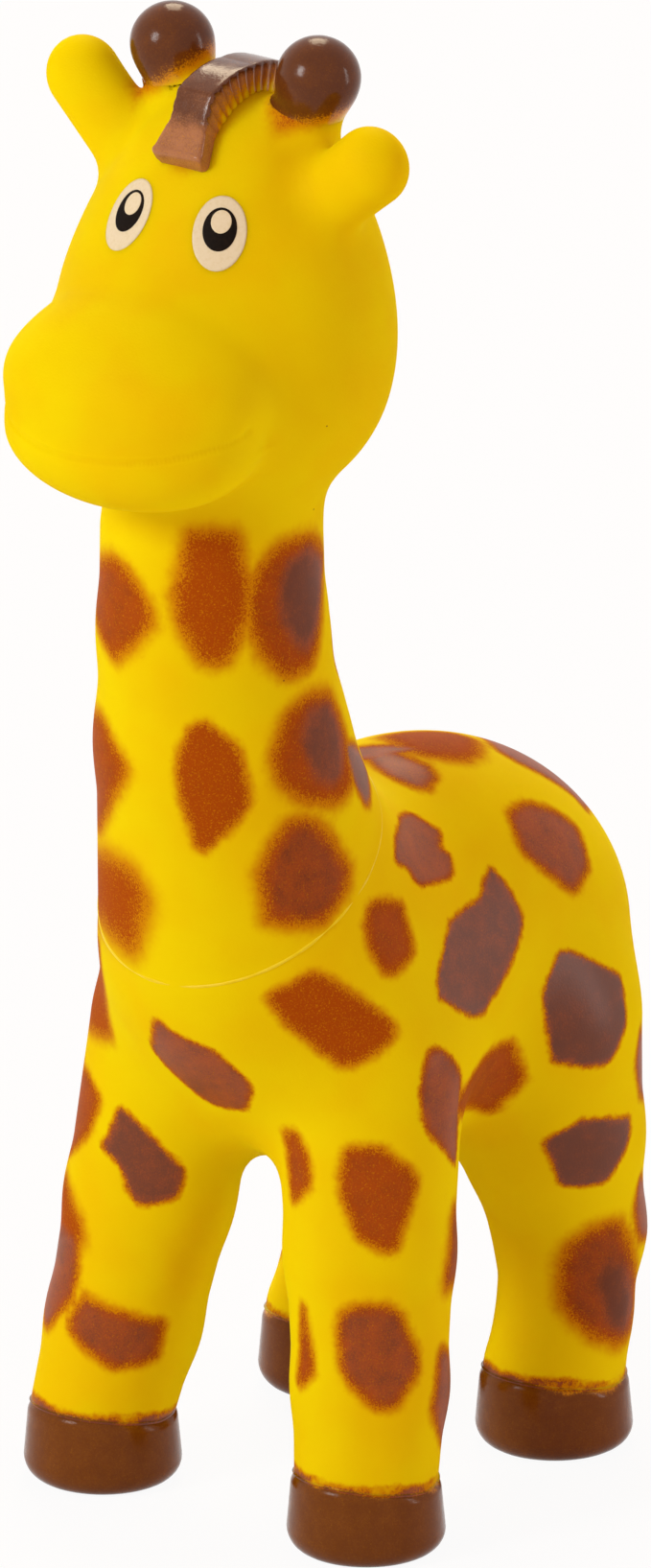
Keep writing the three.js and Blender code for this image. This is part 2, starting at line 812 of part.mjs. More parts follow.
function glueRing() {
  const slab = seamSlab(-half(glueThickness), half(glueThickness));
  return bodySkin.intersect(slab).subtract(innerSkin);
}

const figure = new THREE.Group();
figure.name = 'giraffe_figure';

function addPiece(name, body, finish) {
  figure.add(pieceMesh(name, body, finish));
}

const sides = [['left', 1], ['right', -1]];
const eyes = sides.map(([label, side]) => ({ label, frame: eyeFrame(side) }));

addPiece('body_shell', bodyShell(), finishes.vinyl);
addPiece('head_shell', headShell(eyes), finishes.vinyl);
addPiece('neck_glue', glueRing(), finishes.glue);

for (const [end, hoof] of [['front', frontHoof], ['rear', rearHoof]]) {
  for (const [label, side] of sides) {
    const geometry = hoofGeometry();
    geometry.translate(side * hoof.x, hoof.y, hoof.z);
    addPiece(`hoof_${end}_${label}`, solid(geometry), finishes.hoof);
  }
}

for (const [label, side] of sides) {
  addPiece(`horn_${label}`, placeHorn(hornGeometry(0), side), finishes.horn);
}

const maneSeat = solid(skin(headField, clearance, headLow, headHigh, headFacet));
addPiece('mane', solid(maneGeometry()).subtract(maneSeat), finishes.mane);

for (const { label, frame } of eyes) {
  const [widthShare, tallShare] = pupilSizeShare;
  const pupilWidth = eyeWidth * widthShare;
  const pupilTall = eyeTall * tallShare;
  const pupil = ovalPlug(frame, pupilWidth, pupilTall, pupilInlay).intersect(headSkin);
  const pocket = ovalPocket(frame, pupilWidth, pupilTall, pupilInlay);
  const eye = ovalPlug(frame, eyeWidth, eyeTall, eyeInlay).intersect(headSkin).subtract(pocket);
  addPiece(`eye_${label}`, eye, finishes.eye);
  addPiece(`pupil_${label}`, pupil, finishes.pupil);
}

addPiece('tail_tuft', tuftSolid(0), finishes.hoof);

// The origin is under the middle of the figure, on the ground
const box = new THREE.Box3().setFromObject(figure);
figure.position.y = -half(box.min.y + box.max.y);

export default figure;
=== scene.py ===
# The looks of a hollow soft vinyl giraffe: sculpted skins, sprayed spots, painted hooves, horns
# and mane, printed eyes and the glue line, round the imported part.
# Lengths are millimetres until a mesh is made, then metres. +Z is up, the giraffe faces -Y, and
# its left side is +X. The sculpt's own origin is midway between the four hooves, on the ground.
from math import cos, exp, pi, radians, sin, sqrt

import bmesh
import bpy
import numpy as np
from mathutils import Matrix, Vector


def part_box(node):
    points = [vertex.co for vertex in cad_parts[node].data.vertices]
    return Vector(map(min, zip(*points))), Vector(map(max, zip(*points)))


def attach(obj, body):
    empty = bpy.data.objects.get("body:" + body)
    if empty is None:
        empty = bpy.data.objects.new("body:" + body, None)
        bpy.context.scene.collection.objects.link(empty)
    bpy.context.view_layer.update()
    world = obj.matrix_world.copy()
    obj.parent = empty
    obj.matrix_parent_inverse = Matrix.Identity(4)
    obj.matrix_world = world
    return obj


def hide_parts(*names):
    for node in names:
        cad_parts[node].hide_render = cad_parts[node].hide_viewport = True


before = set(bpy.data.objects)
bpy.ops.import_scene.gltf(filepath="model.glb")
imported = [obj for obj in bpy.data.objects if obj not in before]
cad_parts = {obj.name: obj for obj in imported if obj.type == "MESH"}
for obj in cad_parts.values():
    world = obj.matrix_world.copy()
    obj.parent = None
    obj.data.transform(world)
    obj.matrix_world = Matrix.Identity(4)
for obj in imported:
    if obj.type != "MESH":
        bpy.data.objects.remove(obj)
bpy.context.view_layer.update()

MM = 0.001
TINY = 1e-9

# Legs and hooves
FRONT_TRACK = 43.4
REAR_TRACK = 36
STANCE_LENGTH = 45.8
HOOF_DIAMETER = 20.8
HOOF_HEIGHT = 9.8
HOOF_EDGE_RADIUS = 2.6
HOOF_RIM_RADIUS = 1.9
HOOF_TAPER = 0.5
FRONT_LEG_DIAMETER = 24.7
THIGH_DIAMETER = 28.6
ANKLE_DIAMETER = 18.8

# Trunk
TRUNK_SIZES = np.array([49.4, 63, 54.2])
TRUNK_HEIGHT = 68.8
TRUNK_BACKSET = 14.1
TRUNK_TILT = -5.6

# Neck
NECK_ROOT_DIAMETER = 40.9
NECK_TOP_DIAMETER = 28.9
SEAM_TILT = 34.2

# Head
HEAD_SIZES = np.array([46.4, 40.7, 43.7])
HEAD_HEIGHT = 161.7
HEAD_FORWARD = 24.8
MUZZLE_SIZES = np.array([38, 23.5, 23.4])

# Ears and horns
EAR_LENGTHS = {"left": 20.5, "right": 23}
EAR_TILTS = {"left": 40.3, "right": 47.1}
EAR_WIDTH = 10.5
HORN_LENGTH = 16.4
HORN_LEAN = 12.6
HORN_KNOB_DIAMETER = 10.4
HORN_STALK_DIAMETER = 8.9

# Eyes
EYE_SPACING = 14
EYE_RISE = 19.8
EYE_WIDTH = 8
EYE_TALL = 9.8
PRINT_THICKNESS = 0.06

# Mane and tail
MANE_WIDTH = 6
MANE_HEIGHT = 4.2
MANE_ROOT = 1.5
MANE_LOCK_PITCH = 1.3
MANE_LOCK_DEPTH = 0.38
MANE_STEP = 0.2
TAIL_LENGTH = 26
TAIL_DIAMETER = 5.2
TUFT_DIAMETER = 7.2
TUFT_LENGTH = 12

# Blends where one rounded mass runs into the next
RUMP_BLEND = 6
CHEST_BLEND = 14
LEG_BLEND = 6
LIMB_BLEND = 2
NECK_BLEND = 10
CROWN_BLEND = 14
MUZZLE_BLEND = 7
JAW_BLEND = 2
CHIN_BLEND = 6
HORN_BLEND = 3
EAR_BLEND = 3
TAIL_BLEND = 2

# Places and half sizes of the masses, as shares of the sizes above
RUMP_PLACE_SHARE = [0, 0.157, -0.013]
RUMP_HALF_SHARE = [0.466, 0.348, 0.396]
CHEST_PLACE_SHARE = [0, -0.386, -0.014]
CHEST_HALF_SHARE = [0.459, 0.297, 0.379]
FRONT_HIP_SHARE = [0.306, -0.441, -0.131]
REAR_HIP_SHARE = [0.314, 0.115, -0.187]
FRONT_LEG_SHARES = [[0, 0, 1], [0.45, 0.009, 0.885], [0.78, 0.013, 0.81]]
REAR_LEG_SHARES = [[0, 0, 1], [0.327, 0.049, 0.842], [0.62, 0.105, 0.683], [0.85, 0.063, 0.598]]
NECK_ROOT_SHARE = [0, -0.513, 0.213]
NECK_TOP_SHARE = [0, -0.065, -0.565]
NECK_SHARES = [[0.482, 0.047, 0.303], [0.764, 0.035, 0.041]]
SEAM_SHARE = 0.177
CROWN_PLACE_SHARE = [0, 0.07, 0.39]
CROWN_HALF_SHARE = [0.35, 0.3, 0.388]
MUZZLE_PLACE_SHARE = [0, -0.475, -0.031]
JAW_PLACE_SHARE = [0, -0.482, -0.163]
JAW_HALF_SHARE = [0.475, 0.548, 0.396]
HORN_ROOT_SHARE = [0.208, 0.113, 0.601]
HORN_WAIST_SHARE = 0.92
HORN_PAINT_SHARE = 0.4
EAR_ROOT_SHARE = [0.246, 0.026, 0.423]
EAR_ROOT_THICKNESS_SHARE = 0.94
EAR_FLAT_SHARE = 0.82
MANE_START_ANGLE = 38
MANE_END_ANGLE = 180
MANE_RISE_SHARES = [
    [0, 0.3], [0.03, 0.5], [0.134, 0.66], [0.208, 1.1], [0.366, 0.84],
    [0.47, 0.92], [0.569, 1.1], [0.694, 0.95], [1, 0.62],
]
MANE_LOWER_END_SHARE = 0.437
MANE_FOOT_WIDTH_SHARE = 1.4
MANE_FOOT_REACH_SHARE = 0.13
TAIL_ROOT_SHARE = 0.3
TAIL_STANDOFF_SHARES = [-0.42, 0.02, 0.3, 0.56]
TUFT_SHARES = [[0, 0.62], [0.12, 0.9], [0.35, 1], [0.65, 0.82], [0.88, 0.42], [1, 0]]

# How finely the skins are netted
BODY_PITCH = 1.0
HEAD_PITCH = 0.6
HORN_PITCH = 0.4
BODY_BOX = ([-34, -41, -1], [34, 56, 104.5])
HEAD_BOX = ([-32, -60, 74], [32, 8, 208])
NET_BLOCK = 4
NET_BAND_SHARE = 1.2
RELAX_ROUNDS = 3
SETTLE_MOVES = 3
PROBE = 0.02
LEAST_STEEPNESS = 0.25
RAY_HALVINGS = 24

SIDES = {"left": 1, "right": -1}
LEFTWARD = np.array([1.0, 0, 0])
BACKWARD = np.array([0, 1.0, 0])
UPWARD = np.array([0, 0, 1.0])


def unit(vectors):
    return vectors / np.linalg.norm(vectors, axis=-1, keepdims=True)


def outward(azimuth, elevation=0):
    """The way out from the middle, for degrees round from the front to the left, and up."""
    a = radians(azimuth)
    e = radians(elevation)
    return np.array([sin(a) * cos(e), -cos(a) * cos(e), sin(e)])


# Distance fields: negative inside, near true distance close to the surface

def blend(a, b, width):
    overlap = np.maximum(width - np.abs(a - b), 0) / width
    return np.minimum(a, b) - overlap * overlap * width / 4


def ellipsoid(p, centre, half_sizes, tilt=0):
    turn = np.array(Matrix.Rotation(radians(-tilt), 3, "X"))
    q = (p - centre) @ turn.T / half_sizes
    near = np.maximum(np.linalg.norm(q, axis=1), TINY)
    slope = np.maximum(np.linalg.norm(q / half_sizes, axis=1), TINY / np.max(half_sizes))
    return near * (near - 1) / slope


def taper(p, start, end, start_radius, end_radius):
    axis = end - start
    length = np.linalg.norm(axis)
    axis = axis / length
    sine = (start_radius - end_radius) / length
    cosine = sqrt(1 - sine * sine)
    q = p - start
    along = q @ axis
    away = np.linalg.norm(q - along[:, None] * axis, axis=1)
    foot = along - away * sine / cosine
    side = away * cosine + along * sine - start_radius
    near_start = np.hypot(along, away) - start_radius
    near_end = np.hypot(along - length, away) - end_radius
    return np.where(foot < 0, near_start, np.where(foot > length, near_end, side))


def limb(p, stations):
    result = None
    for (start, start_radius), (end, end_radius) in zip(stations, stations[1:]):
        part = taper(p, start, end, start_radius, end_radius)
        result = part if result is None else blend(result, part, LIMB_BLEND)
    return result


def both_sides(p):
    return np.column_stack([np.abs(p[:, 0]), p[:, 1], p[:, 2]])


def placed(middle, shares, sizes):
    return middle + np.array(shares) * sizes


def mass(p, middle, half_shares, sizes):
    """An ellipsoid whose half sizes are shares of other sizes."""
    return ellipsoid(p, middle, np.array(half_shares) * sizes)


TRUNK_MIDDLE = np.array([0, TRUNK_BACKSET, TRUNK_HEIGHT])
HEAD_MIDDLE = np.array([0, -HEAD_FORWARD, HEAD_HEIGHT])
CROWN_MIDDLE = placed(HEAD_MIDDLE, CROWN_PLACE_SHARE, HEAD_SIZES)
HOOF_MIDDLES = {
    "front": np.array([FRONT_TRACK / 2, -STANCE_LENGTH / 2, 0]),
    "rear": np.array([REAR_TRACK / 2, STANCE_LENGTH / 2, 0]),
}


def leg_stations(hip, hoof, diameter, shares):
    ankle = hoof + [0, 0, HOOF_HEIGHT]
    height = hip[2] - ankle[2]
    stations = []
    for down, back, girth in shares:
        at = hip + (ankle - hip) * down + np.array([0, back * height, 0])
        stations.append((at, diameter / 2 * girth))
    stations.append((ankle, ANKLE_DIAMETER / 2))
    return stations


FRONT_HIP = placed(TRUNK_MIDDLE, FRONT_HIP_SHARE, TRUNK_SIZES)
REAR_HIP = placed(TRUNK_MIDDLE, REAR_HIP_SHARE, TRUNK_SIZES)
FRONT_LEG = leg_stations(FRONT_HIP, HOOF_MIDDLES["front"], FRONT_LEG_DIAMETER, FRONT_LEG_SHARES)
REAR_LEG = leg_stations(REAR_HIP, HOOF_MIDDLES["rear"], THIGH_DIAMETER, REAR_LEG_SHARES)


def neck_point(up, forward=0):
    root = placed(TRUNK_MIDDLE, NECK_ROOT_SHARE, TRUNK_SIZES)
    top = placed(HEAD_MIDDLE, NECK_TOP_SHARE, HEAD_SIZES)
    return root + (top - root) * up - np.array([0, forward * (top[2] - root[2]), 0])


def neck_stations():
    stations = [(neck_point(0), NECK_ROOT_DIAMETER / 2)]
    for up, forward, girth in NECK_SHARES:
        diameter = NECK_TOP_DIAMETER + (NECK_ROOT_DIAMETER - NECK_TOP_DIAMETER) * girth
        stations.append((neck_point(up, forward), diameter / 2))
    stations.append((neck_point(1), NECK_TOP_DIAMETER / 2))
    return stations


NECK = neck_stations()
SEAM_MIDDLE = neck_point(SEAM_SHARE)
SEAM_ANGLE = radians(SEAM_TILT)
SEAM_NORMAL = np.array([0, -sin(SEAM_ANGLE), cos(SEAM_ANGLE)])


def trunk_field(p):
    rump_middle = placed(TRUNK_MIDDLE, RUMP_PLACE_SHARE, TRUNK_SIZES)
    chest_middle = placed(TRUNK_MIDDLE, CHEST_PLACE_SHARE, TRUNK_SIZES)
    d = ellipsoid(p, TRUNK_MIDDLE, TRUNK_SIZES / 2, TRUNK_TILT)
    d = blend(d, mass(p, rump_middle, RUMP_HALF_SHARE, TRUNK_SIZES), RUMP_BLEND)
    d = blend(d, mass(p, chest_middle, CHEST_HALF_SHARE, TRUNK_SIZES), CHEST_BLEND)
    halves = both_sides(p)
    d = blend(d, limb(halves, FRONT_LEG), LEG_BLEND)
    return blend(d, limb(halves, REAR_LEG), LEG_BLEND)


def skull_field(p):
    crown = mass(p, CROWN_MIDDLE, CROWN_HALF_SHARE, HEAD_SIZES)
    return blend(ellipsoid(p, HEAD_MIDDLE, HEAD_SIZES / 2), crown, CROWN_BLEND)


def muzzle_field(p):
    return ellipsoid(p, placed(HEAD_MIDDLE, MUZZLE_PLACE_SHARE, HEAD_SIZES), MUZZLE_SIZES / 2)


def face_field(p):
    jaw_middle = placed(HEAD_MIDDLE, JAW_PLACE_SHARE, HEAD_SIZES)
    d = blend(skull_field(p), muzzle_field(p), MUZZLE_BLEND)
    return blend(d, mass(p, jaw_middle, JAW_HALF_SHARE, MUZZLE_SIZES), JAW_BLEND)


def figure_field(p):
    d = blend(trunk_field(p), limb(p, NECK), NECK_BLEND)
    return blend(d, face_field(p), CHIN_BLEND)


HORN_ROOT = placed(HEAD_MIDDLE, HORN_ROOT_SHARE, HEAD_SIZES)
HORN_AXIS = np.array([sin(radians(HORN_LEAN)), 0, cos(radians(HORN_LEAN))])
HORN_STALK_INSET = np.array([0.7, 0, 0])
HORN_STALK_FILL = 1.06


def horn_field(p):
    knob = HORN_ROOT + HORN_AXIS * (HORN_LENGTH - HORN_KNOB_DIAMETER / 2)
    halves = both_sides(p)
    girth = HORN_STALK_DIAMETER / 2 * HORN_STALK_FILL
    inner = halves + HORN_STALK_INSET
    stalk = taper(inner, HORN_ROOT, knob, girth * HORN_WAIST_SHARE, girth)
    ball = np.linalg.norm(halves - knob, axis=1) - HORN_KNOB_DIAMETER / 2
    return blend(stalk, ball, LIMB_BLEND)


def horn_plane(side):
    """Where the paint line crosses a horn's middle, and the way the horn points."""
    mirror = np.array([side, 1, 1])
    return (HORN_ROOT + HORN_AXIS * HORN_PAINT_SHARE * HORN_LENGTH) * mirror, HORN_AXIS * mirror


def ear_field(p, side):
    angle = radians(EAR_TILTS[side])
    root = placed(HEAD_MIDDLE, EAR_ROOT_SHARE, HEAD_SIZES) * [SIDES[side], 1, 1]
    out = np.array([SIDES[side] * cos(angle), 0, sin(angle)])
    tip = root + out * (EAR_LENGTHS[side] - EAR_WIDTH / 2)
    flat = p.copy()
    flat[:, 1] = root[1] + (p[:, 1] - root[1]) / EAR_FLAT_SHARE
    return taper(flat, root, tip, EAR_WIDTH / 2 * EAR_ROOT_THICKNESS_SHARE, EAR_WIDTH / 2) * EAR_FLAT_SHARE


def horned_field(p):
    return blend(figure_field(p), horn_field(p), HORN_BLEND)


def head_field(p):
    d = horned_field(p)
    for side in SIDES:
        d = blend(d, ear_field(p, side), EAR_BLEND)
    return d


# Places on a field's surface

def slope_of(field, points):
    slope = np.empty_like(points)
    for axis in range(3):
        step = np.zeros(3)
        step[axis] = PROBE
        slope[:, axis] = (field(points + step) - field(points - step)) / (2 * PROBE)
    return slope


def normals_of(field, points):
    return unit(slope_of(field, points))


def level_axes(normal):
    """The ways level across a surface, and up it."""
    across = unit(np.cross(UPWARD, normal))
    return across, np.cross(normal, across)


def settled(field, points):
    for _ in range(SETTLE_MOVES):
        slope = slope_of(field, points)
        steep = np.maximum((slope * slope).sum(1), LEAST_STEEPNESS)
        points = points - slope * (field(points) / steep)[:, None]
    return points


def surface_along(field, origins, directions, reach):
    """Where rays that start inside the field leave it."""
    near = np.zeros(len(origins))
    far = np.full(len(origins), float(reach))
    for _ in range(RAY_HALVINGS):
        middle = (near + far) / 2
        inside = field(origins + directions * middle[:, None]) < 0
        near = np.where(inside, middle, near)
        far = np.where(inside, far, middle)
    return origins + directions * near[:, None]


def tail_stations():
    top = TRUNK_HEIGHT + TAIL_ROOT_SHARE * TRUNK_SIZES[2]
    drop = TAIL_LENGTH / (len(TAIL_STANDOFF_SHARES) - 1)
    heights = [top - i * drop for i in range(len(TAIL_STANDOFF_SHARES))]
    inside = np.array([[0, TRUNK_BACKSET, z] for z in heights])
    ends = surface_along(trunk_field, inside, BACKWARD, TRUNK_SIZES[1])
    ends[:, 1] += np.array(TAIL_STANDOFF_SHARES) * TUFT_DIAMETER
    return [(at, TAIL_DIAMETER / 2) for at in ends]


TAIL = tail_stations()


def body_field(p):
    return blend(figure_field(p), limb(p, TAIL), TAIL_BLEND)


# Skins of fields, as even nets of quads

def sampled(field, low, high, pitch):
    """The field on a grid, one value per block except near its surface."""
    blocks = np.ceil((high - low) / (pitch * NET_BLOCK)).astype(int)
    places = np.indices(blocks).reshape(3, -1).T
    middles = low + (places * NET_BLOCK + (NET_BLOCK - 1) / 2) * pitch
    values = field(middles).reshape(blocks)
    for axis in range(3):
        values = values.repeat(NET_BLOCK, axis)
    near = np.argwhere(np.abs(values) < NET_BLOCK * pitch * NET_BAND_SHARE)
    values[tuple(near.T)] = field(low + near * pitch)
    return values


def net(field, low, high, pitch):
    """Points and quads of a field's skin, one point in each cell that the skin crosses."""
    values = sampled(field, low, high, pitch)
    inside = values < 0
    x, y, z = np.array(inside.shape) - 1
    corners = list(np.ndindex(2, 2, 2))
    full = sum(inside[i:x + i, j:y + j, k:z + k].astype(int) for i, j, k in corners)
    crossed = (full > 0) & (full < len(corners))
    number = np.full(full.shape, -1)
    number[crossed] = np.arange(crossed.sum())
    points = low + (np.argwhere(crossed) + 0.5) * pitch
    quads = []
    for axis in range(3):
        here = [slice(1, -1)] * 3
        ahead = list(here)
        ahead[axis] = slice(2, None)
        start = inside[tuple(here)]
        end = inside[tuple(ahead)]
        u = np.eye(3, dtype=int)[(axis + 1) % 3]
        v = np.eye(3, dtype=int)[(axis + 2) % 3]
        for outward, found in ((True, start & ~end), (False, ~start & end)):
            cell = np.argwhere(found) + 1
            ring = [cell, cell - u, cell - u - v, cell - v]
            corners = np.stack([number[tuple(c.T)] for c in ring], axis=1)
            quads.append(corners if outward else corners[:, ::-1])
    used, quads = np.unique(np.concatenate(quads), return_inverse=True)
    quads = quads.reshape(-1, 4)
    return evened(field, points[used], quads), quads


def evened(field, points, quads):
    """Corners drawn towards the middle of their neighbours, and back onto the surface."""
    links = np.concatenate([quads[:, [i, (i + 1) % 4]] for i in range(4)])
    links = np.concatenate([links, links[:, ::-1]])
    counts = np.bincount(links[:, 0], minlength=len(points))
    for _ in range(RELAX_ROUNDS):
        sums = [np.bincount(links[:, 0], points[links[:, 1], axis], len(points)) for axis in range(3)]
        points = settled(field, (np.stack(sums, axis=1) / counts[:, None] + points) / 2)
    return points


# From the sculpt's own millimetres to the row frame's metres

FRONT_HOOF_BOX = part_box("hoof_front_left")
SHIFT = (FRONT_HOOF_BOX[0].y + FRONT_HOOF_BOX[1].y) / 2 / MM + STANCE_LENGTH / 2


def in_row(points):
    return (np.asarray(points, float) + [0, SHIFT, 0]) * MM


def places_of(vertices):
    return np.array([vertex.co[:] for vertex in vertices])


def bands(rings, steps, closed=False):
    """Faces that join each ring of corners to the next, and the last to the first if closed."""
    faces = []
    for ring in range(rings if closed else rings - 1):
        here = ring * steps
        following = (ring + 1) % rings * steps
        for i in range(steps):
            j = (i + 1) % steps
            faces.append((here + i, following + i, following + j, here + j))
    return faces


def mesh_of(name, points, faces):
    mesh = bpy.data.meshes.new(name)
    mesh.from_pydata(in_row(points).tolist(), [], [list(map(int, face)) for face in faces])
    mesh.shade_smooth()
    return mesh


def store(mesh, **named):
    """Stores a value at each corner, from a list of them or one for all."""
    for name, values in named.items():
        values = np.zeros(len(mesh.vertices)) + values
        mesh.attributes.new(name, "FLOAT", "POINT").data.foreach_set("value", values)


def add_object(name, data):
    made = bpy.data.objects.new(name, data)
    bpy.context.scene.collection.objects.link(made)
    return made


def add_piece(name, mesh, nodes, material, sprays=()):
    if sprays:
        spray(mesh, sprays)
    piece = add_object(name, mesh)
    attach(piece, "root")
    if nodes:
        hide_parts(*nodes)
    mesh.materials.append(material)


# The camera stands where the photograph's does

PICTURE_SIZE = (679, 1635)
PIXELS_PER_MM = 8
CAMERA_AZIMUTH = 37.3
CAMERA_ELEVATION = 19.7
CAMERA_DISTANCE = 3800
AIM_HEIGHT = 100
AIM_PIXEL = (354.8, 773.8)
SENSOR_WIDTH = 36
CLIP_SHARES = (0.01, 10)


def camera_axes():
    back = outward(CAMERA_AZIMUTH, CAMERA_ELEVATION)
    right = outward(CAMERA_AZIMUTH + 90)
    return right, np.cross(back, right), back


def picture_target(pixels):
    """Points that show at these pixels, on the plane through the aim that faces the camera."""
    right, up, _ = camera_axes()
    offset = (np.asarray(pixels, float) - AIM_PIXEL) / PIXELS_PER_MM
    return [0, 0, AIM_HEIGHT] + offset[..., :1] * right - offset[..., 1:] * up


def camera_eye():
    middle = picture_target(np.array(PICTURE_SIZE) / 2)
    return middle + camera_axes()[2] * CAMERA_DISTANCE


def make_camera():
    right, up, back = camera_axes()
    data = bpy.data.cameras.new("camera")
    data.sensor_width = SENSOR_WIDTH
    data.lens = SENSOR_WIDTH * CAMERA_DISTANCE * PIXELS_PER_MM / max(PICTURE_SIZE)
    data.clip_start = CAMERA_DISTANCE * MM * CLIP_SHARES[0]
    data.clip_end = CAMERA_DISTANCE * MM * CLIP_SHARES[1]
    camera = add_object("camera", data)
    turn = Matrix([right, up, back]).transposed().to_4x4()
    camera.matrix_world = Matrix.Translation(Vector(in_row(camera_eye()))) @ turn
    bpy.context.scene.camera = camera


# Sprayed spots. Each has the width of its soft edge in millimetres, how dense the paint is from
# 0, thin and orange, to 1, thick and dark, and an outline drawn in the photograph's pixels.

CRISP = 0.6
GRAINY = 1.1
SOFT = 1.8
HAZY = 3
THIN = 0.1
LIGHT = 0.3
MEDIUM = 0.55
DENSE = 0.85
DARK = 1.0
BARE_DEPTH = -30.0

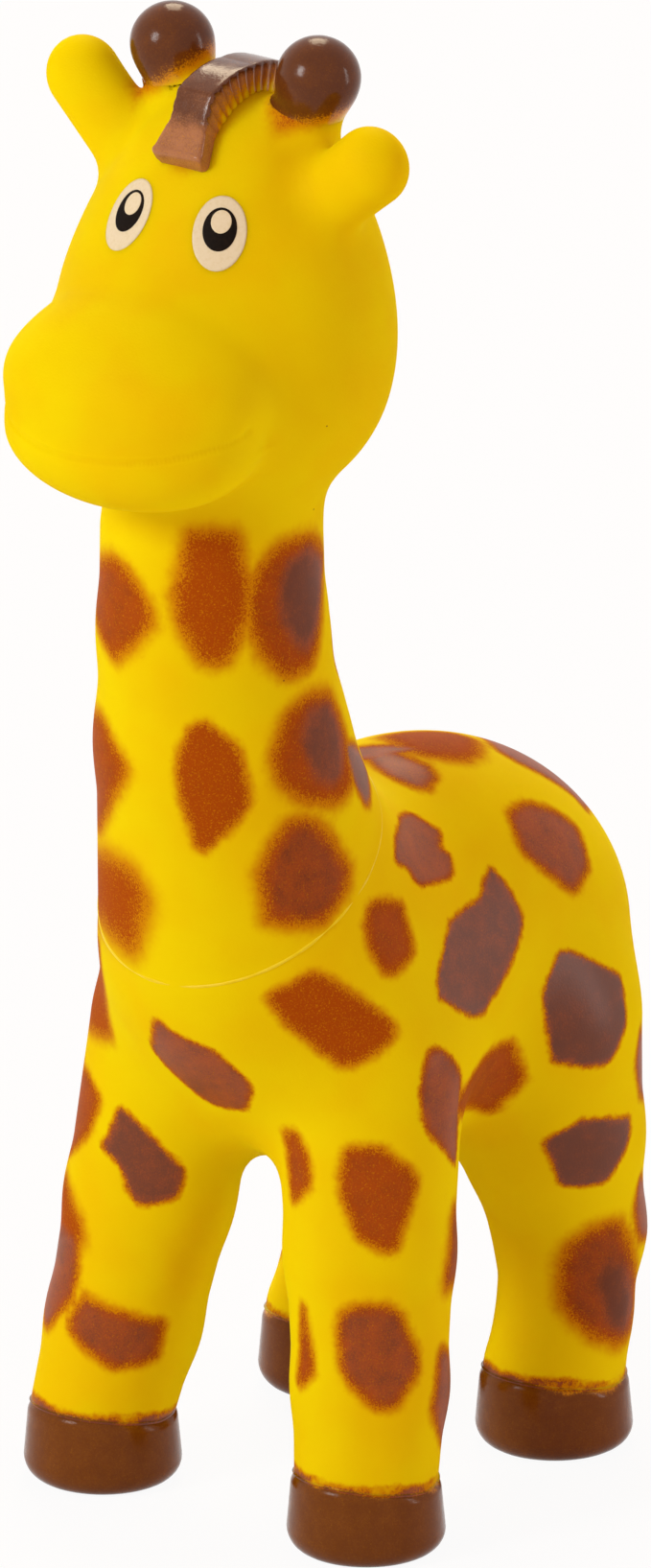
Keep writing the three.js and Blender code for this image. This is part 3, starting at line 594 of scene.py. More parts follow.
SPOTS = {
    "neck_right_upper": (SOFT, LIGHT, [(98, 592), (118, 584), (136, 603), (152, 632), (155, 650),
        (138, 670), (120, 684), (103, 655), (96, 620)]),
    "neck_front_upper": (SOFT, THIN, [(200, 560), (243, 560), (250, 590), (258, 618), (254, 645),
        (235, 686), (213, 687), (189, 648), (185, 622), (193, 590)]),
    "neck_left_upper": (SOFT, LIGHT, [(262, 640), (270, 600), (292, 572), (322, 562), (337, 580),
        (334, 640), (325, 690), (300, 702), (275, 680)]),
    "neck_left_upper_core": (SOFT, DARK, [(290, 620), (300, 585), (322, 570), (336, 590), (334, 640),
        (322, 678), (306, 672), (292, 648)]),
    "neck_left_mid_core": (SOFT, DENSE, [(312, 770), (322, 738), (345, 732), (358, 770), (358, 805),
        (345, 822), (325, 812)]),
    "rear_shin_core": (SOFT, DARK, [(618, 1330), (634, 1310), (655, 1320), (660, 1360), (650, 1390),
        (630, 1380)]),
    "neck_right_mid": (SOFT, LIGHT, [(94, 748), (106, 752), (129, 800), (120, 822), (104, 862), (94, 850)]),
    "neck_front_mid": (GRAINY, THIN, [(200, 762), (215, 757), (248, 785), (258, 835), (245, 855),
        (212, 886), (203, 870), (187, 815), (190, 782)]),
    "neck_left_mid": (SOFT, LIGHT, [(288, 790), (300, 750), (322, 728), (345, 728), (360, 770), (366, 815),
        (350, 835), (318, 832), (296, 815)]),
    "neck_left_back": (GRAINY, DENSE, [(366, 776), (374, 782), (383, 805), (386, 832), (382, 838),
        (372, 820), (362, 780)]),
    "neck_low_left": (SOFT, MEDIUM, [(300, 862), (318, 857), (335, 865), (362, 905), (358, 930), (335, 960),
        (300, 961), (280, 958), (278, 935), (274, 910), (285, 885)]),
    "neck_low_right": (HAZY, THIN, [(98, 895), (115, 900), (135, 912), (147, 935), (143, 960), (135, 985),
        (108, 958), (98, 945)]),
    "chest_right_edge": (SOFT, THIN, [(96, 985), (103, 985), (110, 1050), (113, 1078), (90, 1060),
        (94, 1020)]),
    "back_top_left": (SOFT, LIGHT, [(400, 768), (430, 763), (470, 764), (495, 772), (497, 785), (485, 791),
        (460, 789), (430, 783)]),
    "shoulder_top": (GRAINY, MEDIUM, [(376, 780), (395, 781), (425, 790), (447, 800), (453, 810),
        (445, 822), (432, 820), (405, 808), (388, 795)]),
    "back_top_right": (GRAINY, MEDIUM, [(500, 766), (518, 781), (542, 795), (569, 809), (597, 828),
        (610, 842), (618, 836), (600, 806), (560, 775), (520, 762)]),
    "shoulder_upper": (CRISP, MEDIUM, [(418, 852), (428, 848), (458, 866), (459, 884), (470, 892),
        (472, 908), (465, 917), (438, 922), (425, 905), (413, 897), (413, 875)]),
    "rump_upper": (GRAINY, MEDIUM, [(532, 850), (548, 838), (575, 845), (600, 862), (613, 900), (605, 920),
        (596, 928), (560, 900), (545, 885)]),
    "shoulder_low_small": (GRAINY, LIGHT, [(387, 945), (403, 941), (418, 944), (423, 962), (430, 993),
        (412, 1012), (400, 1010), (386, 985), (383, 965)]),
    "flank_middle": (CRISP, DENSE, [(512, 905), (538, 940), (545, 965), (528, 1015), (505, 1055),
        (490, 1058), (460, 1040), (458, 1015), (470, 962), (500, 938)]),
    "rump_low": (CRISP, DARK, [(584, 993), (600, 995), (645, 1017), (650, 1035), (652, 1070), (632, 1110),
        (578, 1105), (567, 1040), (575, 1015)]),
    "rump_edge_upper": (GRAINY, MEDIUM, [(640, 880), (649, 904), (655, 932), (661, 962), (665, 990),
        (668, 1012), (690, 1015), (702, 985), (700, 945), (690, 905), (668, 872)]),
    "chest_front": (GRAINY, THIN, [(282, 1040), (300, 1030), (325, 1018), (345, 1024), (400, 1062),
        (411, 1075), (402, 1088), (365, 1110), (345, 1102), (300, 1066)]),
    "elbow": (CRISP, MEDIUM, [(448, 1098), (458, 1093), (472, 1105), (481, 1125), (477, 1185), (475, 1215),
        (452, 1185), (442, 1168), (439, 1130)]),
    "belly": (GRAINY, LIGHT, [(500, 1112), (515, 1095), (533, 1090), (545, 1125), (520, 1150), (508, 1158),
        (480, 1160), (480, 1145), (490, 1128)]),
    "thigh": (CRISP, DARK, [(568, 1192), (590, 1178), (610, 1168), (656, 1166), (655, 1190), (633, 1230),
        (610, 1236), (585, 1235), (578, 1215)]),
    "rear_shin": (SOFT, MEDIUM, [(596, 1300), (618, 1284), (645, 1278), (662, 1340), (658, 1385),
        (645, 1398), (618, 1390), (590, 1362), (588, 1325)]),
    "rump_edge_mid": (GRAINY, MEDIUM, [(668, 1075), (676, 1090), (676, 1140), (668, 1140), (664, 1110)]),
    "thigh_edge": (GRAINY, MEDIUM, [(668, 1228), (676, 1240), (676, 1285), (668, 1290), (663, 1265)]),
    "front_left_leg_upper": (GRAINY, LIGHT, [(362, 1202), (380, 1199), (398, 1200), (430, 1225),
        (432, 1240), (413, 1297), (405, 1304), (375, 1288), (357, 1240)]),
    "front_left_leg_lower": (GRAINY, MEDIUM, [(360, 1368), (380, 1364), (400, 1363), (415, 1370),
        (433, 1410), (434, 1430), (410, 1467), (390, 1465), (358, 1430), (355, 1385)]),
    "front_left_inner_upper": (GRAINY, LIGHT, [(299, 1185), (306, 1182), (319, 1208), (321, 1236),
        (305, 1250), (301, 1210)]),
    "front_left_inner_lower": (GRAINY, LIGHT, [(301, 1368), (315, 1362), (322, 1400), (325, 1432),
        (311, 1440), (302, 1385)]),
    "front_left_edge_low": (GRAINY, MEDIUM, [(460, 1408), (452, 1470), (460, 1503), (470, 1500),
        (470, 1420)]),
    "front_left_edge_upper": (SOFT, MEDIUM, [(474, 1260), (469, 1315), (466, 1340), (478, 1330),
        (480, 1280)]),
    "right_chest": (CRISP, MEDIUM, [(162, 1063), (180, 1077), (220, 1095), (261, 1131), (255, 1157),
        (218, 1150), (166, 1103), (159, 1092)]),
    "right_upper_leg": (CRISP, DENSE, [(126, 1155), (155, 1183), (191, 1220), (183, 1249), (142, 1254),
        (125, 1215), (107, 1195), (115, 1180)]),
    "right_lower_leg": (GRAINY, MEDIUM, [(88, 1353), (100, 1361), (155, 1378), (169, 1380), (163, 1412),
        (150, 1420), (120, 1425), (95, 1410), (73, 1385), (76, 1372)]),
    "right_leg_edge": (SOFT, THIN, [(68, 1228), (80, 1270), (82, 1292), (72, 1306), (60, 1312), (52, 1300),
        (60, 1260)]),
    "right_edge_upper": (SOFT, LIGHT, [(86, 1110), (88, 1130), (82, 1180), (74, 1190), (78, 1140)]),
}

# Guessed spots on the side that the photograph doesn't show: copies of seen ones, a little
# turned, moved and resized.
MIRRORED_SPOTS = [
    "neck_left_back", "shoulder_top", "shoulder_upper", "rump_upper", "shoulder_low_small", "flank_middle",
    "rump_low", "elbow", "belly", "thigh", "rear_shin", "front_left_leg_upper", "front_left_leg_lower",
    "back_top_right",
]
# More guessed spots, at the back: a place inside the figure, the way from there to the skin in
# degrees from the giraffe's front to its left, half the width and height, and turn in degrees.
HIDDEN_SPOTS = [
    (neck_point(0.82), 255, 4.5, 6.5, 10),
    (neck_point(0.59), 256, 4.6, 5, -20),
    (neck_point(0.7), 133, 3.2, 5, 15),
    (neck_point(0.36), 218, 3.2, 4, 30),
    (np.array([0, 26, 64]), 152, 6, 7.5, -10),
    (np.array([0, 24, 60]), 218, 7, 7.5, 25),
    (np.array([0, 20, 50]), 248, 5, 6, -30),
    (np.array([17, 24, 36]), 178, 4.5, 6, 15),
    (np.array([-17, 24, 38]), 188, 5, 6.5, -20),
    (np.array([-17.5, 23, 24]), 192, 3.6, 4.2, 40),
    (np.array([17.5, 23, 19]), 160, 4, 4.5, 0),
    (np.array([-21, -22, 36]), 200, 4.2, 5.5, 10),
    (np.array([-21.5, -22.5, 20]), 262, 4, 4.5, -15),
    (np.array([21, -22, 30]), 172, 4, 5, 25),
]
HIDDEN_OUTLINE = np.array(
    [(1, 0.1), (0.6, 0.8), (-0.2, 1), (-0.9, 0.5), (-0.8, -0.5), (-0.1, -1), (0.7, -0.7)])
MIRROR_TURN = 35
MIRROR_RESIZE = 0.12
MIRROR_MOVE = 1.5
ROUND_STEPS = 4
ROUND_SLOPE_SHARE = 0.25
STEEP = 0.9
SPOT_REACH = 14
SEED = 7

NEAR_REACH = 130
MARCH_MOVES = 110
MARCH_SHARE = 0.85
TOUCH = 0.05
BEHIND_SHARE = 2


def seen_at(field, pixels):
    """Places on the skin that show at these pixels. A pixel beside the outline stands for a place
    round the edge, further behind it the further out the pixel is."""
    eye = camera_eye()
    directions = unit(picture_target(pixels) - eye)
    travel = np.full(len(directions), CAMERA_DISTANCE - NEAR_REACH)
    nearest = np.full(len(directions), np.inf)
    nearest_travel = travel.copy()
    for _ in range(MARCH_MOVES):
        d = field(eye + directions * travel[:, None])
        closer = d < nearest
        nearest = np.where(closer, d, nearest)
        nearest_travel = np.where(closer, travel, nearest_travel)
        travel = travel + np.where(nearest > TOUCH, np.maximum(d * MARCH_SHARE, TOUCH), 0)
    behind = np.where(nearest > TOUCH, nearest * BEHIND_SHARE, 0)
    return settled(field, eye + directions * (nearest_travel + behind)[:, None])


def rounded(outline):
    """A closed outline with its corners eased by a curve through its points."""
    points = np.asarray(outline, float)
    before, after, beyond = np.roll(points, 1, 0), np.roll(points, -1, 0), np.roll(points, -2, 0)
    slope_here = (after - before) * ROUND_SLOPE_SHARE
    slope_after = (beyond - points) * ROUND_SLOPE_SHARE
    eased = []
    for i in range(ROUND_STEPS):
        t = i / ROUND_STEPS
        eased.append(
            (2 * t ** 3 - 3 * t ** 2 + 1) * points + (t ** 3 - 2 * t ** 2 + t) * slope_here
            + (3 * t ** 2 - 2 * t ** 3) * after + (t ** 3 - t ** 2) * slope_after)
    return np.stack(eased, axis=1).reshape(-1, points.shape[1])


def flattened(points, middle, normal):
    """Places round a middle laid out flat, each as far from it as it is in space."""
    across = unit(np.cross(normal, UPWARD if abs(normal[2]) < STEEP else LEFTWARD))
    offset = points - middle
    flat = np.column_stack([offset @ across, offset @ np.cross(normal, across)])
    length = np.maximum(np.linalg.norm(flat, axis=1), TINY)
    return flat * (np.linalg.norm(offset, axis=1) / length)[:, None]


def depth_inside(points, outline):
    """How far inside a flat outline points are, negative outside."""
    nearest = np.full(len(points), np.inf)
    inside = np.zeros(len(points), bool)
    for start, end in zip(outline, np.roll(outline, -1, 0)):
        side = end - start
        share = np.clip((points - start) @ side / max(side @ side, TINY), 0, 1)
        nearest = np.minimum(nearest, np.linalg.norm(points - start - share[:, None] * side, axis=1))
        spans = (start[1] > points[:, 1]) != (end[1] > points[:, 1])
        rise = side[1] if side[1] else TINY
        inside ^= spans & (points[:, 0] < start[0] + side[0] * (points[:, 1] - start[1]) / rise)
    return np.where(inside, nearest, -nearest)


class Spot:
    def __init__(self, corners, softness, density):
        self.corners = corners
        self.softness = softness
        self.density = density
        self.middle = settled(figure_field, corners.mean(0)[None])[0]
        self.normal = normals_of(figure_field, self.middle[None])[0]
        self.outline = rounded(flattened(corners, self.middle, self.normal))
        self.reach = np.linalg.norm(self.outline, axis=1).max() + 2 * HAZY

    def depth_at(self, points):
        depth = np.full(len(points), BARE_DEPTH)
        near = np.linalg.norm(points - self.middle, axis=1) < self.reach
        if near.any():
            depth[near] = depth_inside(flattened(points[near], self.middle, self.normal), self.outline)
        return depth

    def mirrored(self, chance):
        corners = self.corners * [-1, 1, 1]
        middle = corners.mean(0)
        angle = radians(chance.uniform(-MIRROR_TURN, MIRROR_TURN))
        turn = np.array(Matrix.Rotation(angle, 3, Vector(self.normal * [-1, 1, 1])))
        size = 1 + chance.uniform(-MIRROR_RESIZE, MIRROR_RESIZE)
        move = chance.uniform(-MIRROR_MOVE, MIRROR_MOVE, 3)
        corners = middle + move + (corners - middle) @ turn.T * size
        return Spot(settled(figure_field, corners), self.softness, self.density)


def seen_spot(softness, density, outline):
    corners = seen_at(figure_field, np.array(outline, float))
    stray = np.linalg.norm(corners - np.median(corners, axis=0), axis=1) > SPOT_REACH
    return Spot(corners[~stray], softness, density)


def hidden_spot(inside, azimuth, half_width, half_height, turn):
    middle = surface_along(figure_field, inside[None], outward(azimuth), NECK_ROOT_DIAMETER)[0]
    across, up = level_axes(normals_of(figure_field, middle[None])[0])
    turned_back = np.array(Matrix.Rotation(radians(-turn), 2))
    shape = HIDDEN_OUTLINE * [half_width, half_height] @ turned_back
    corners = middle + shape[:, :1] * across + shape[:, 1:] * up
    return Spot(settled(figure_field, corners), GRAINY, MEDIUM)


HOOF_LIP = 0.35
HOOF_LINE_WAVES = [(1, 0.4, 0.4), (2, 0.3, 2.4), (3, 0.2, 1.9), (7, 0.15, 5.1), (12, 0.1, 2.2)]
HOOF_LINE_REACH = 4
# Gaps and half width of the thin line over each hoof, which is paint and painted shade of the groove.
HOOF_PAINT_AND_SHADE_LINE_GAPS = 3
HOOF_NEAR_SHARE = 0.7
HOOF_PAINT_AND_SHADE_LINE_HALF = 0.3
HOOF_FRONT_RISE = 1.7


def hoof_rise(offset):
    """How much higher a hoof reaches at the front, for places round its middle."""
    return HOOF_FRONT_RISE * np.clip(-offset[:, 1] / (HOOF_DIAMETER / 2), 0, 1)


class HoofPaint:
    """Hoof paint up to an uneven line below each hoof's top, and above it a thin line of paint and painted
    shade.
    """

    softness = CRISP
    density = DENSE

    def depth_at(self, points):
        depth = np.full(len(points), BARE_DEPTH)
        for middle in HOOF_MIDDLES.values():
            for side in SIDES.values():
                offset = points - middle * [side, 1, 1]
                turns = np.arctan2(offset[:, 1], offset[:, 0])
                near = np.hypot(offset[:, 0], offset[:, 1]) < HOOF_DIAMETER * HOOF_NEAR_SHARE
                near &= points[:, 2] < HOOF_HEIGHT + HOOF_LINE_REACH
                below = HOOF_HEIGHT + hoof_rise(offset) - points[:, 2]
                uneven = sum(
                    height * np.sin(waves * turns + phase * middle[1] + side)
                    for waves, height, phase in HOOF_LINE_WAVES)
                broken = np.sin(HOOF_PAINT_AND_SHADE_LINE_GAPS * turns + middle[1])
                # A thin dark line on the leg just above the hoof: paint, and painted shade of the groove
                # where the leg goes in.
                line = HOOF_PAINT_AND_SHADE_LINE_HALF * broken - np.abs(below + HOOF_PAINT_AND_SHADE_LINE_HALF)
                painted = np.maximum(below - HOOF_LIP + uneven, line)
                depth = np.where(near, painted, depth)
        return depth


HORN_PAINT_DROPS = {1: 0.6, -1: 1.6}
HORN_PAINT_SLOPE = np.array([0.36, 0.2, 0])
HORN_PAINT_SOFTNESS = 1.8
HORN_PAINT_REACH = -0.6
HORN_TIP_REACH = 2.5


class HornPaint:
    """Horn paint, thinning to bare vinyl low down, and higher up on the giraffe's rear left."""

    softness = HORN_PAINT_SOFTNESS

    def __init__(self, density, reach):
        self.density = density
        self.reach = reach

    def depth_at(self, points):
        depth = np.full(len(points), BARE_DEPTH)
        for side in SIDES.values():
            point, axis = horn_plane(side)
            offset = points - point
            along = offset @ axis
            away = offset - along[:, None] * axis
            line = along - HORN_PAINT_DROPS[side] - away @ HORN_PAINT_SLOPE
            within = HORN_KNOB_DIAMETER / 2 + self.reach - np.linalg.norm(away, axis=1)
            depth = np.maximum(depth, np.minimum(line, within))
        return depth


MANE_SPRAY_REACH = 1.6
MANE_SPRAY_START = 12


class ManePaint:
    """What the mane's spray leaves on the skin beside it."""

    softness = SOFT
    density = THIN

    def __init__(self):
        self.path = mane_path()[0][MANE_SPRAY_START:]

    def depth_at(self, points):
        depth = np.full(len(points), BARE_DEPTH)
        near = (points[:, 2] > self.path[:, 2].min()) & (np.abs(points[:, 0]) < MANE_WIDTH)
        if near.any():
            depth[near] = MANE_WIDTH / 2 - MANE_SPRAY_REACH - distance_to(points[near], self.path)
        return depth


def distance_to(points, line):
    return np.sqrt(((points[:, None, :] - line[None]) ** 2).sum(2).min(1))


def all_sprays():
    chance = np.random.default_rng(SEED)
    spots = {name: seen_spot(*drawn) for name, drawn in SPOTS.items()}
    for name in MIRRORED_SPOTS:
        spots[name + "_mirrored"] = spots[name].mirrored(chance)
    hidden = [hidden_spot(*drawn) for drawn in HIDDEN_SPOTS]
    return [*spots.values(), *hidden, HoofPaint(), HornPaint(MEDIUM, HORN_PAINT_REACH), ManePaint()]


def spray(mesh, sprays):
    """Stores how deep each corner is in the paint that covers it best, how soft the edge of that
    paint is, how dense all paint there is, and how far the corner is from the skin's closed ends."""
    points = places_of(mesh.vertices) / MM - [0, SHIFT, 0]
    depth = np.full(len(points), BARE_DEPTH)
    softness = np.full(len(points), GRAINY)
    density = np.zeros(len(points))
    for paint in sprays:
        here = paint.depth_at(points)
        better = here / paint.softness > depth / softness
        depth[better] = here[better]
        softness[better] = paint.softness
        share = np.clip(here / paint.softness / 2 + 0.5, 0, 1)
        density = np.maximum(density, paint.density * share)
    seam = np.abs((points - SEAM_MIDDLE) @ SEAM_NORMAL)
    ankle = points[:, 2] - HOOF_HEIGHT + ANKLE_TUCK
    store(mesh, paint_depth=depth, paint_softness=softness, paint_density=density,
          end_distance=np.minimum(seam, ankle))


# Materials

VINYL = (0.85, 0.75, 0.001, 1)
DEEP_VINYL = (0.84, 0.66, 0.001, 1)
THIN_PAINT = (0.6, 0.23, 0.002, 1)
SPOT_PAINT = (0.4, 0.08, 0.003, 1)
DENSE_PAINT = (0.14, 0.036, 0.01, 1)
HOOF_PAINT = (0.16, 0.05, 0.004, 1)
WORN_HOOF_PAINT = (0.25, 0.09, 0.006, 1)
HORN_PAINT = (0.11, 0.034, 0.007, 1)
WORN_HORN_PAINT = (0.2, 0.065, 0.006, 1)
MANE_PAINT = (0.12, 0.038, 0.008, 1)
# The mane's thinner paint, on its front plate and lower walls: partly its real lighter colour, partly a
# painted sheen of the lamps, lighter and mauve, on the plate.
THIN_MANE_PAINT_AND_SHEEN = (0.44, 0.2, 0.08, 1)
CREAM_INK = (0.81, 0.8, 0.58, 1)
WORN_CREAM_INK = (0.75, 0.73, 0.48, 1)
BLACK_INK = (0.007, 0.004, 0.002, 1)
WORN_BLACK_INK = (0.014, 0.008, 0.004, 1)
GLUE = (0.88, 0.77, 0.03, 1)
YELLOWED_GLUE = (0.85, 0.72, 0.002, 1)
GREY_FLOOR = (0.86, 0.86, 0.86, 1)
PALE_FLOOR = (0.88, 0.88, 0.88, 1)
FLOOR_PATCHES = 400

# The spray. A noise is its size in millimetres, its swing, detail and roughness. A range is the
# value where something starts and the one where it is full, then what it is at each, if not 0 and 1.
EDGE_CLOUDS = (1.8, 1.2, 3, 0.6)
EDGE_GRAIN = (0.6, 0.4)
COVER_RANGE = (-1.9, 1)
DOTS = (0.25, 2, 2, 0.75)
DOTS_IN_THIN_AND_DENSE = (1, 0.4)
FULL_RANGE = (0.48, 0.95)
HAZE_RANGE = (0, 0.6, 0, 0.88)
DENSITY_CLOUDS = (2.6, 0.8, 3, 0.6)
DENSITY_GRAIN = (0.22, 1, 2, 0.75)
THICK_RANGE = (0.1, 1.1)
CRISP_GLOSS_RANGE = (3, 0.7)
DENSE_GLOSS_RANGE = (0.1, 0.75)

# Vinyl. A pair is the value on bare vinyl and the one under full spray. Noises have no swing here:
# a size, detail and roughness. Specks are a spacing, a radius and the share of places with one.
VINYL_PATCHES = (16, 2)
VINYL_PATCH_RANGE = (0.35, 0.7)
VINYL_SPECKS = (7, 0.16, 0.16)
VINYL_GRAIN = (0.3, 2)
VINYL_DENTS = (6, 2)
VINYL_DENT_SHARE = 3
SPRAY_RELIEF_SHARE = 0.8
VINYL_RELIEF = 0.02
VINYL_ROUGHNESS = (0.62, 0.4)
VINYL_SPECULAR = (0.02, 0.38)
VINYL_SUBSURFACE = (0.9, 0.1)
VINYL_RADIUS = (1, 0.95, 0.1)
VINYL_SCATTER = 2
CLOSED_END_RANGE = (0.3, 3)

# Paint on hooves, horns and mane
PAINT_CLOUDS = (2.5, 4, 0.65)
PAINT_GRAIN = (0.3, 2, 0.7)
PAINT_GRAIN_SHARE = 0.2
PAINT_RELIEF = 0.06
PAINT_UNEVENNESS = (0.35, 0.5)
PAINT_ROUGHNESS_RANGE = (0.3, 0.75, 0.11, 0.24)
PAINT_SPECULAR = 0.02
HORN_GLOSS = 0.2
MANE_GLOSS = 0.3
HOOF_GLOSS = 0.1
PAINT_SUBSURFACE = (0.5, 0)
PAINT_RADIUS = (1, 0.9, 0.05)
PAINT_SCATTER = 0.6

INK_LOOK = {
    "patches": (0.5, 3, 0.6), "patch_range": (0.4, 0.8), "roughness": 0.4, "specular": 0.05,
    "grain": (0.4, 2), "relief": 0.01,
}
GLUE_LOOK = {
    "patches": (2, 2), "patch_range": (0.35, 0.7), "roughness": 0.35, "specular": 0.2,
    "grain": (0.6, 2), "relief": 0.03,
}


class Shader:
    """Nodes of a material or a world, built up by calls that return sockets."""

    # Sockets of a Mix node that mixes colours
    MIX_SHARE = 0
    MIX_FIRST = 6
    MIX_SECOND = 7
    MIX_RESULT = 2

    def __init__(self, owner):
        owner.use_nodes = True
        self.owner = owner
        self.nodes = owner.node_tree.nodes
        self.links = owner.node_tree.links
        self.nodes.clear()

    def put(self, socket, value):
        if isinstance(value, bpy.types.NodeSocket):
            self.links.new(value, socket)
        else:
            socket.default_value = value

    def math(self, operation, *values):
        node = self.nodes.new("ShaderNodeMath")
        node.operation = operation
        for socket, value in zip(node.inputs, values):
            self.put(socket, value)
        return node.outputs[0]

    def between(self, share, first, second):
        """A value that goes from the first to the second as the share goes from 0 to 1."""
        return self.math("MULTIPLY_ADD", share, second - first, first)

    def added(self, *values):
        total = values[0]
        for value in values[1:]:
            total = self.math("ADD", total, value)
        return total

    def ranged(self, value, low, high, to_low=0.0, to_high=1.0):
        node = self.nodes.new("ShaderNodeMapRange")
        node.interpolation_type = "SMOOTHSTEP"
        limits = {"Value": value, "From Min": low, "From Max": high, "To Min": to_low, "To Max": to_high}
        for name, item in limits.items():
            self.put(node.inputs[name], item)
        return node.outputs["Result"]

    def texture(self, kind, size):
        node = self.nodes.new(kind)
        place = self.nodes.new("ShaderNodeTexCoord").outputs["Object"]
        self.links.new(place, node.inputs["Vector"])
        node.inputs["Scale"].default_value = 1 / (size * MM)
        return node

    def noise(self, size, detail=2, roughness=0.5):
        node = self.texture("ShaderNodeTexNoise", size)
        node.inputs["Detail"].default_value = detail
        node.inputs["Roughness"].default_value = roughness
        return node.outputs["Fac"]

    def swing(self, size, reach, detail=2, roughness=0.5):
        """Noise about zero, up to half its reach either way."""
        return self.math("MULTIPLY_ADD", self.noise(size, detail, roughness), reach, -reach / 2)

    def specks(self, spacing, radius, share):
        """Rare small dots, at a share of evenly scattered places."""
        node = self.texture("ShaderNodeTexVoronoi", spacing)
        near = self.ranged(node.outputs["Distance"], radius / spacing, radius / spacing / 2)
        split = self.nodes.new("ShaderNodeSeparateColor")
        self.links.new(node.outputs["Color"], split.inputs[0])
        return self.math("MULTIPLY", near, self.math("LESS_THAN", split.outputs[0], share))

    def stored(self, name):
        node = self.nodes.new("ShaderNodeAttribute")
        node.attribute_name = name
        return node.outputs["Fac"]

    def mixed(self, share, first, second):
        node = self.nodes.new("ShaderNodeMix")
        node.data_type = "RGBA"
        self.put(node.inputs[self.MIX_SHARE], share)
        self.put(node.inputs[self.MIX_FIRST], first)
        self.put(node.inputs[self.MIX_SECOND], second)
        return node.outputs[self.MIX_RESULT]

    def bumped(self, height, depth):
        node = self.nodes.new("ShaderNodeBump")
        self.put(node.inputs["Height"], height)
        node.inputs["Distance"].default_value = depth * MM
        return node.outputs["Normal"]

    def surface(self, kind, **values):
        node = self.nodes.new(kind)
        for name, value in values.items():
            self.put(node.inputs[name.replace("_", " ")], value)
        return node.outputs[0]

    def looking(self):
        """1 for camera, glossy and transmission rays, and 0 for the rest."""
        path = self.nodes.new("ShaderNodeLightPath")
        share = path.outputs["Is Camera Ray"]
        for kind in ("Is Glossy Ray", "Is Transmission Ray"):
            share = self.math("MAXIMUM", share, path.outputs[kind])
        return share

    def either(self, share, first, second):
        node = self.nodes.new("ShaderNodeMixShader")
        for socket, value in zip(node.inputs, (share, first, second)):
            self.links.new(value, socket)
        return node.outputs[0]

    def shown(self, surface, kind="ShaderNodeOutputMaterial"):
        output = self.nodes.new(kind)
        self.links.new(surface, output.inputs["Surface"])
        return self.owner

    def finished(self, **values):
        return self.shown(self.surface("ShaderNodeBsdfPrincipled", **values))

    def sprayed(self, vinyl, thin, paint, dense):
        """How much paint lies on the vinyl, the colour of both together, and how glossy it is."""
        depth = self.added(self.stored("paint_depth"), self.swing(*EDGE_CLOUDS), self.swing(*EDGE_GRAIN))
        softness = self.stored("paint_softness")
        density = self.stored("paint_density")
        cover = self.ranged(self.math("DIVIDE", depth, softness), *COVER_RANGE)
        dots = self.math("MULTIPLY", self.swing(*DOTS), self.math("SQRT", cover))
        dots = self.math("MULTIPLY", dots, self.between(density, *DOTS_IN_THIN_AND_DENSE))
        full = self.ranged(self.added(cover, dots), *FULL_RANGE)
        haze = self.ranged(cover, *HAZE_RANGE)
        colour = self.mixed(full, self.mixed(haze, vinyl, thin), paint)
        uneven = self.added(density, self.swing(*DENSITY_CLOUDS), self.swing(*DENSITY_GRAIN))
        thick = self.math("MULTIPLY", full, self.ranged(uneven, *THICK_RANGE))
        glossy = self.math(
            "MULTIPLY", self.ranged(softness, *CRISP_GLOSS_RANGE), self.ranged(density, *DENSE_GLOSS_RANGE))
        return haze, self.mixed(thick, colour, dense), self.math("MULTIPLY", full, glossy)


def new_shader(name):
    return Shader(bpy.data.materials.new(name))


def vinyl_material():
    s = new_shader("yellow_vinyl")
    vinyl = s.mixed(s.ranged(s.noise(*VINYL_PATCHES), *VINYL_PATCH_RANGE), VINYL, DEEP_VINYL)
    share, colour, glossy = s.sprayed(vinyl, THIN_PAINT, SPOT_PAINT, DENSE_PAINT)
    dents = s.math("MULTIPLY", s.noise(*VINYL_DENTS), VINYL_DENT_SHARE)
    relief = s.added(s.noise(*VINYL_GRAIN), dents, s.math("MULTIPLY", share, SPRAY_RELIEF_SHARE))
    deep = s.ranged(s.stored("end_distance"), *CLOSED_END_RANGE)
    return s.finished(
        Base_Color=s.mixed(s.specks(*VINYL_SPECKS), colour, DENSE_PAINT),
        Roughness=s.between(glossy, *VINYL_ROUGHNESS),
        Subsurface_Weight=s.math("MULTIPLY", s.between(share, *VINYL_SUBSURFACE), deep),
        Subsurface_Radius=VINYL_RADIUS,
        Subsurface_Scale=VINYL_SCATTER * MM,
        Specular_IOR_Level=s.between(glossy, *VINYL_SPECULAR),
        Normal=s.bumped(relief, VINYL_RELIEF),
    )


def paint_material(name, paint, second_colour, gloss):
    """Satin paint that thins to bare vinyl at the edges of what was sprayed."""
    s = new_shader(name)
    # The second colour is thinner paint; for the mane it also holds a painted sheen on the front plate.
    share, colour, _ = s.sprayed(VINYL, THIN_PAINT, second_colour, paint)
    cloud = s.noise(*PAINT_CLOUDS)
    grain = s.math("MULTIPLY", s.noise(*PAINT_GRAIN), PAINT_GRAIN_SHARE)
    return s.finished(
        Base_Color=colour,
        Roughness=s.ranged(s.added(cloud, s.swing(*PAINT_UNEVENNESS)), *PAINT_ROUGHNESS_RANGE),
        Subsurface_Weight=s.between(share, *PAINT_SUBSURFACE),
        Subsurface_Radius=PAINT_RADIUS,
        Subsurface_Scale=PAINT_SCATTER * MM,
        Specular_IOR_Level=s.between(share, PAINT_SPECULAR, PAINT_SPECULAR + gloss),
        Normal=s.bumped(s.added(grain, cloud), PAINT_RELIEF),
    )


def plain_material(name, base, second_colour, patches, patch_range, roughness, specular, grain, relief):
    """One colour, with patches of a second one from wear."""
    s = new_shader(name)
    return s.finished(
        Base_Color=s.mixed(s.ranged(s.noise(*patches), *patch_range), base, second_colour),
        Roughness=roughness,
        Specular_IOR_Level=specular,
        Normal=s.bumped(s.noise(*grain), relief),
    )


# Skins

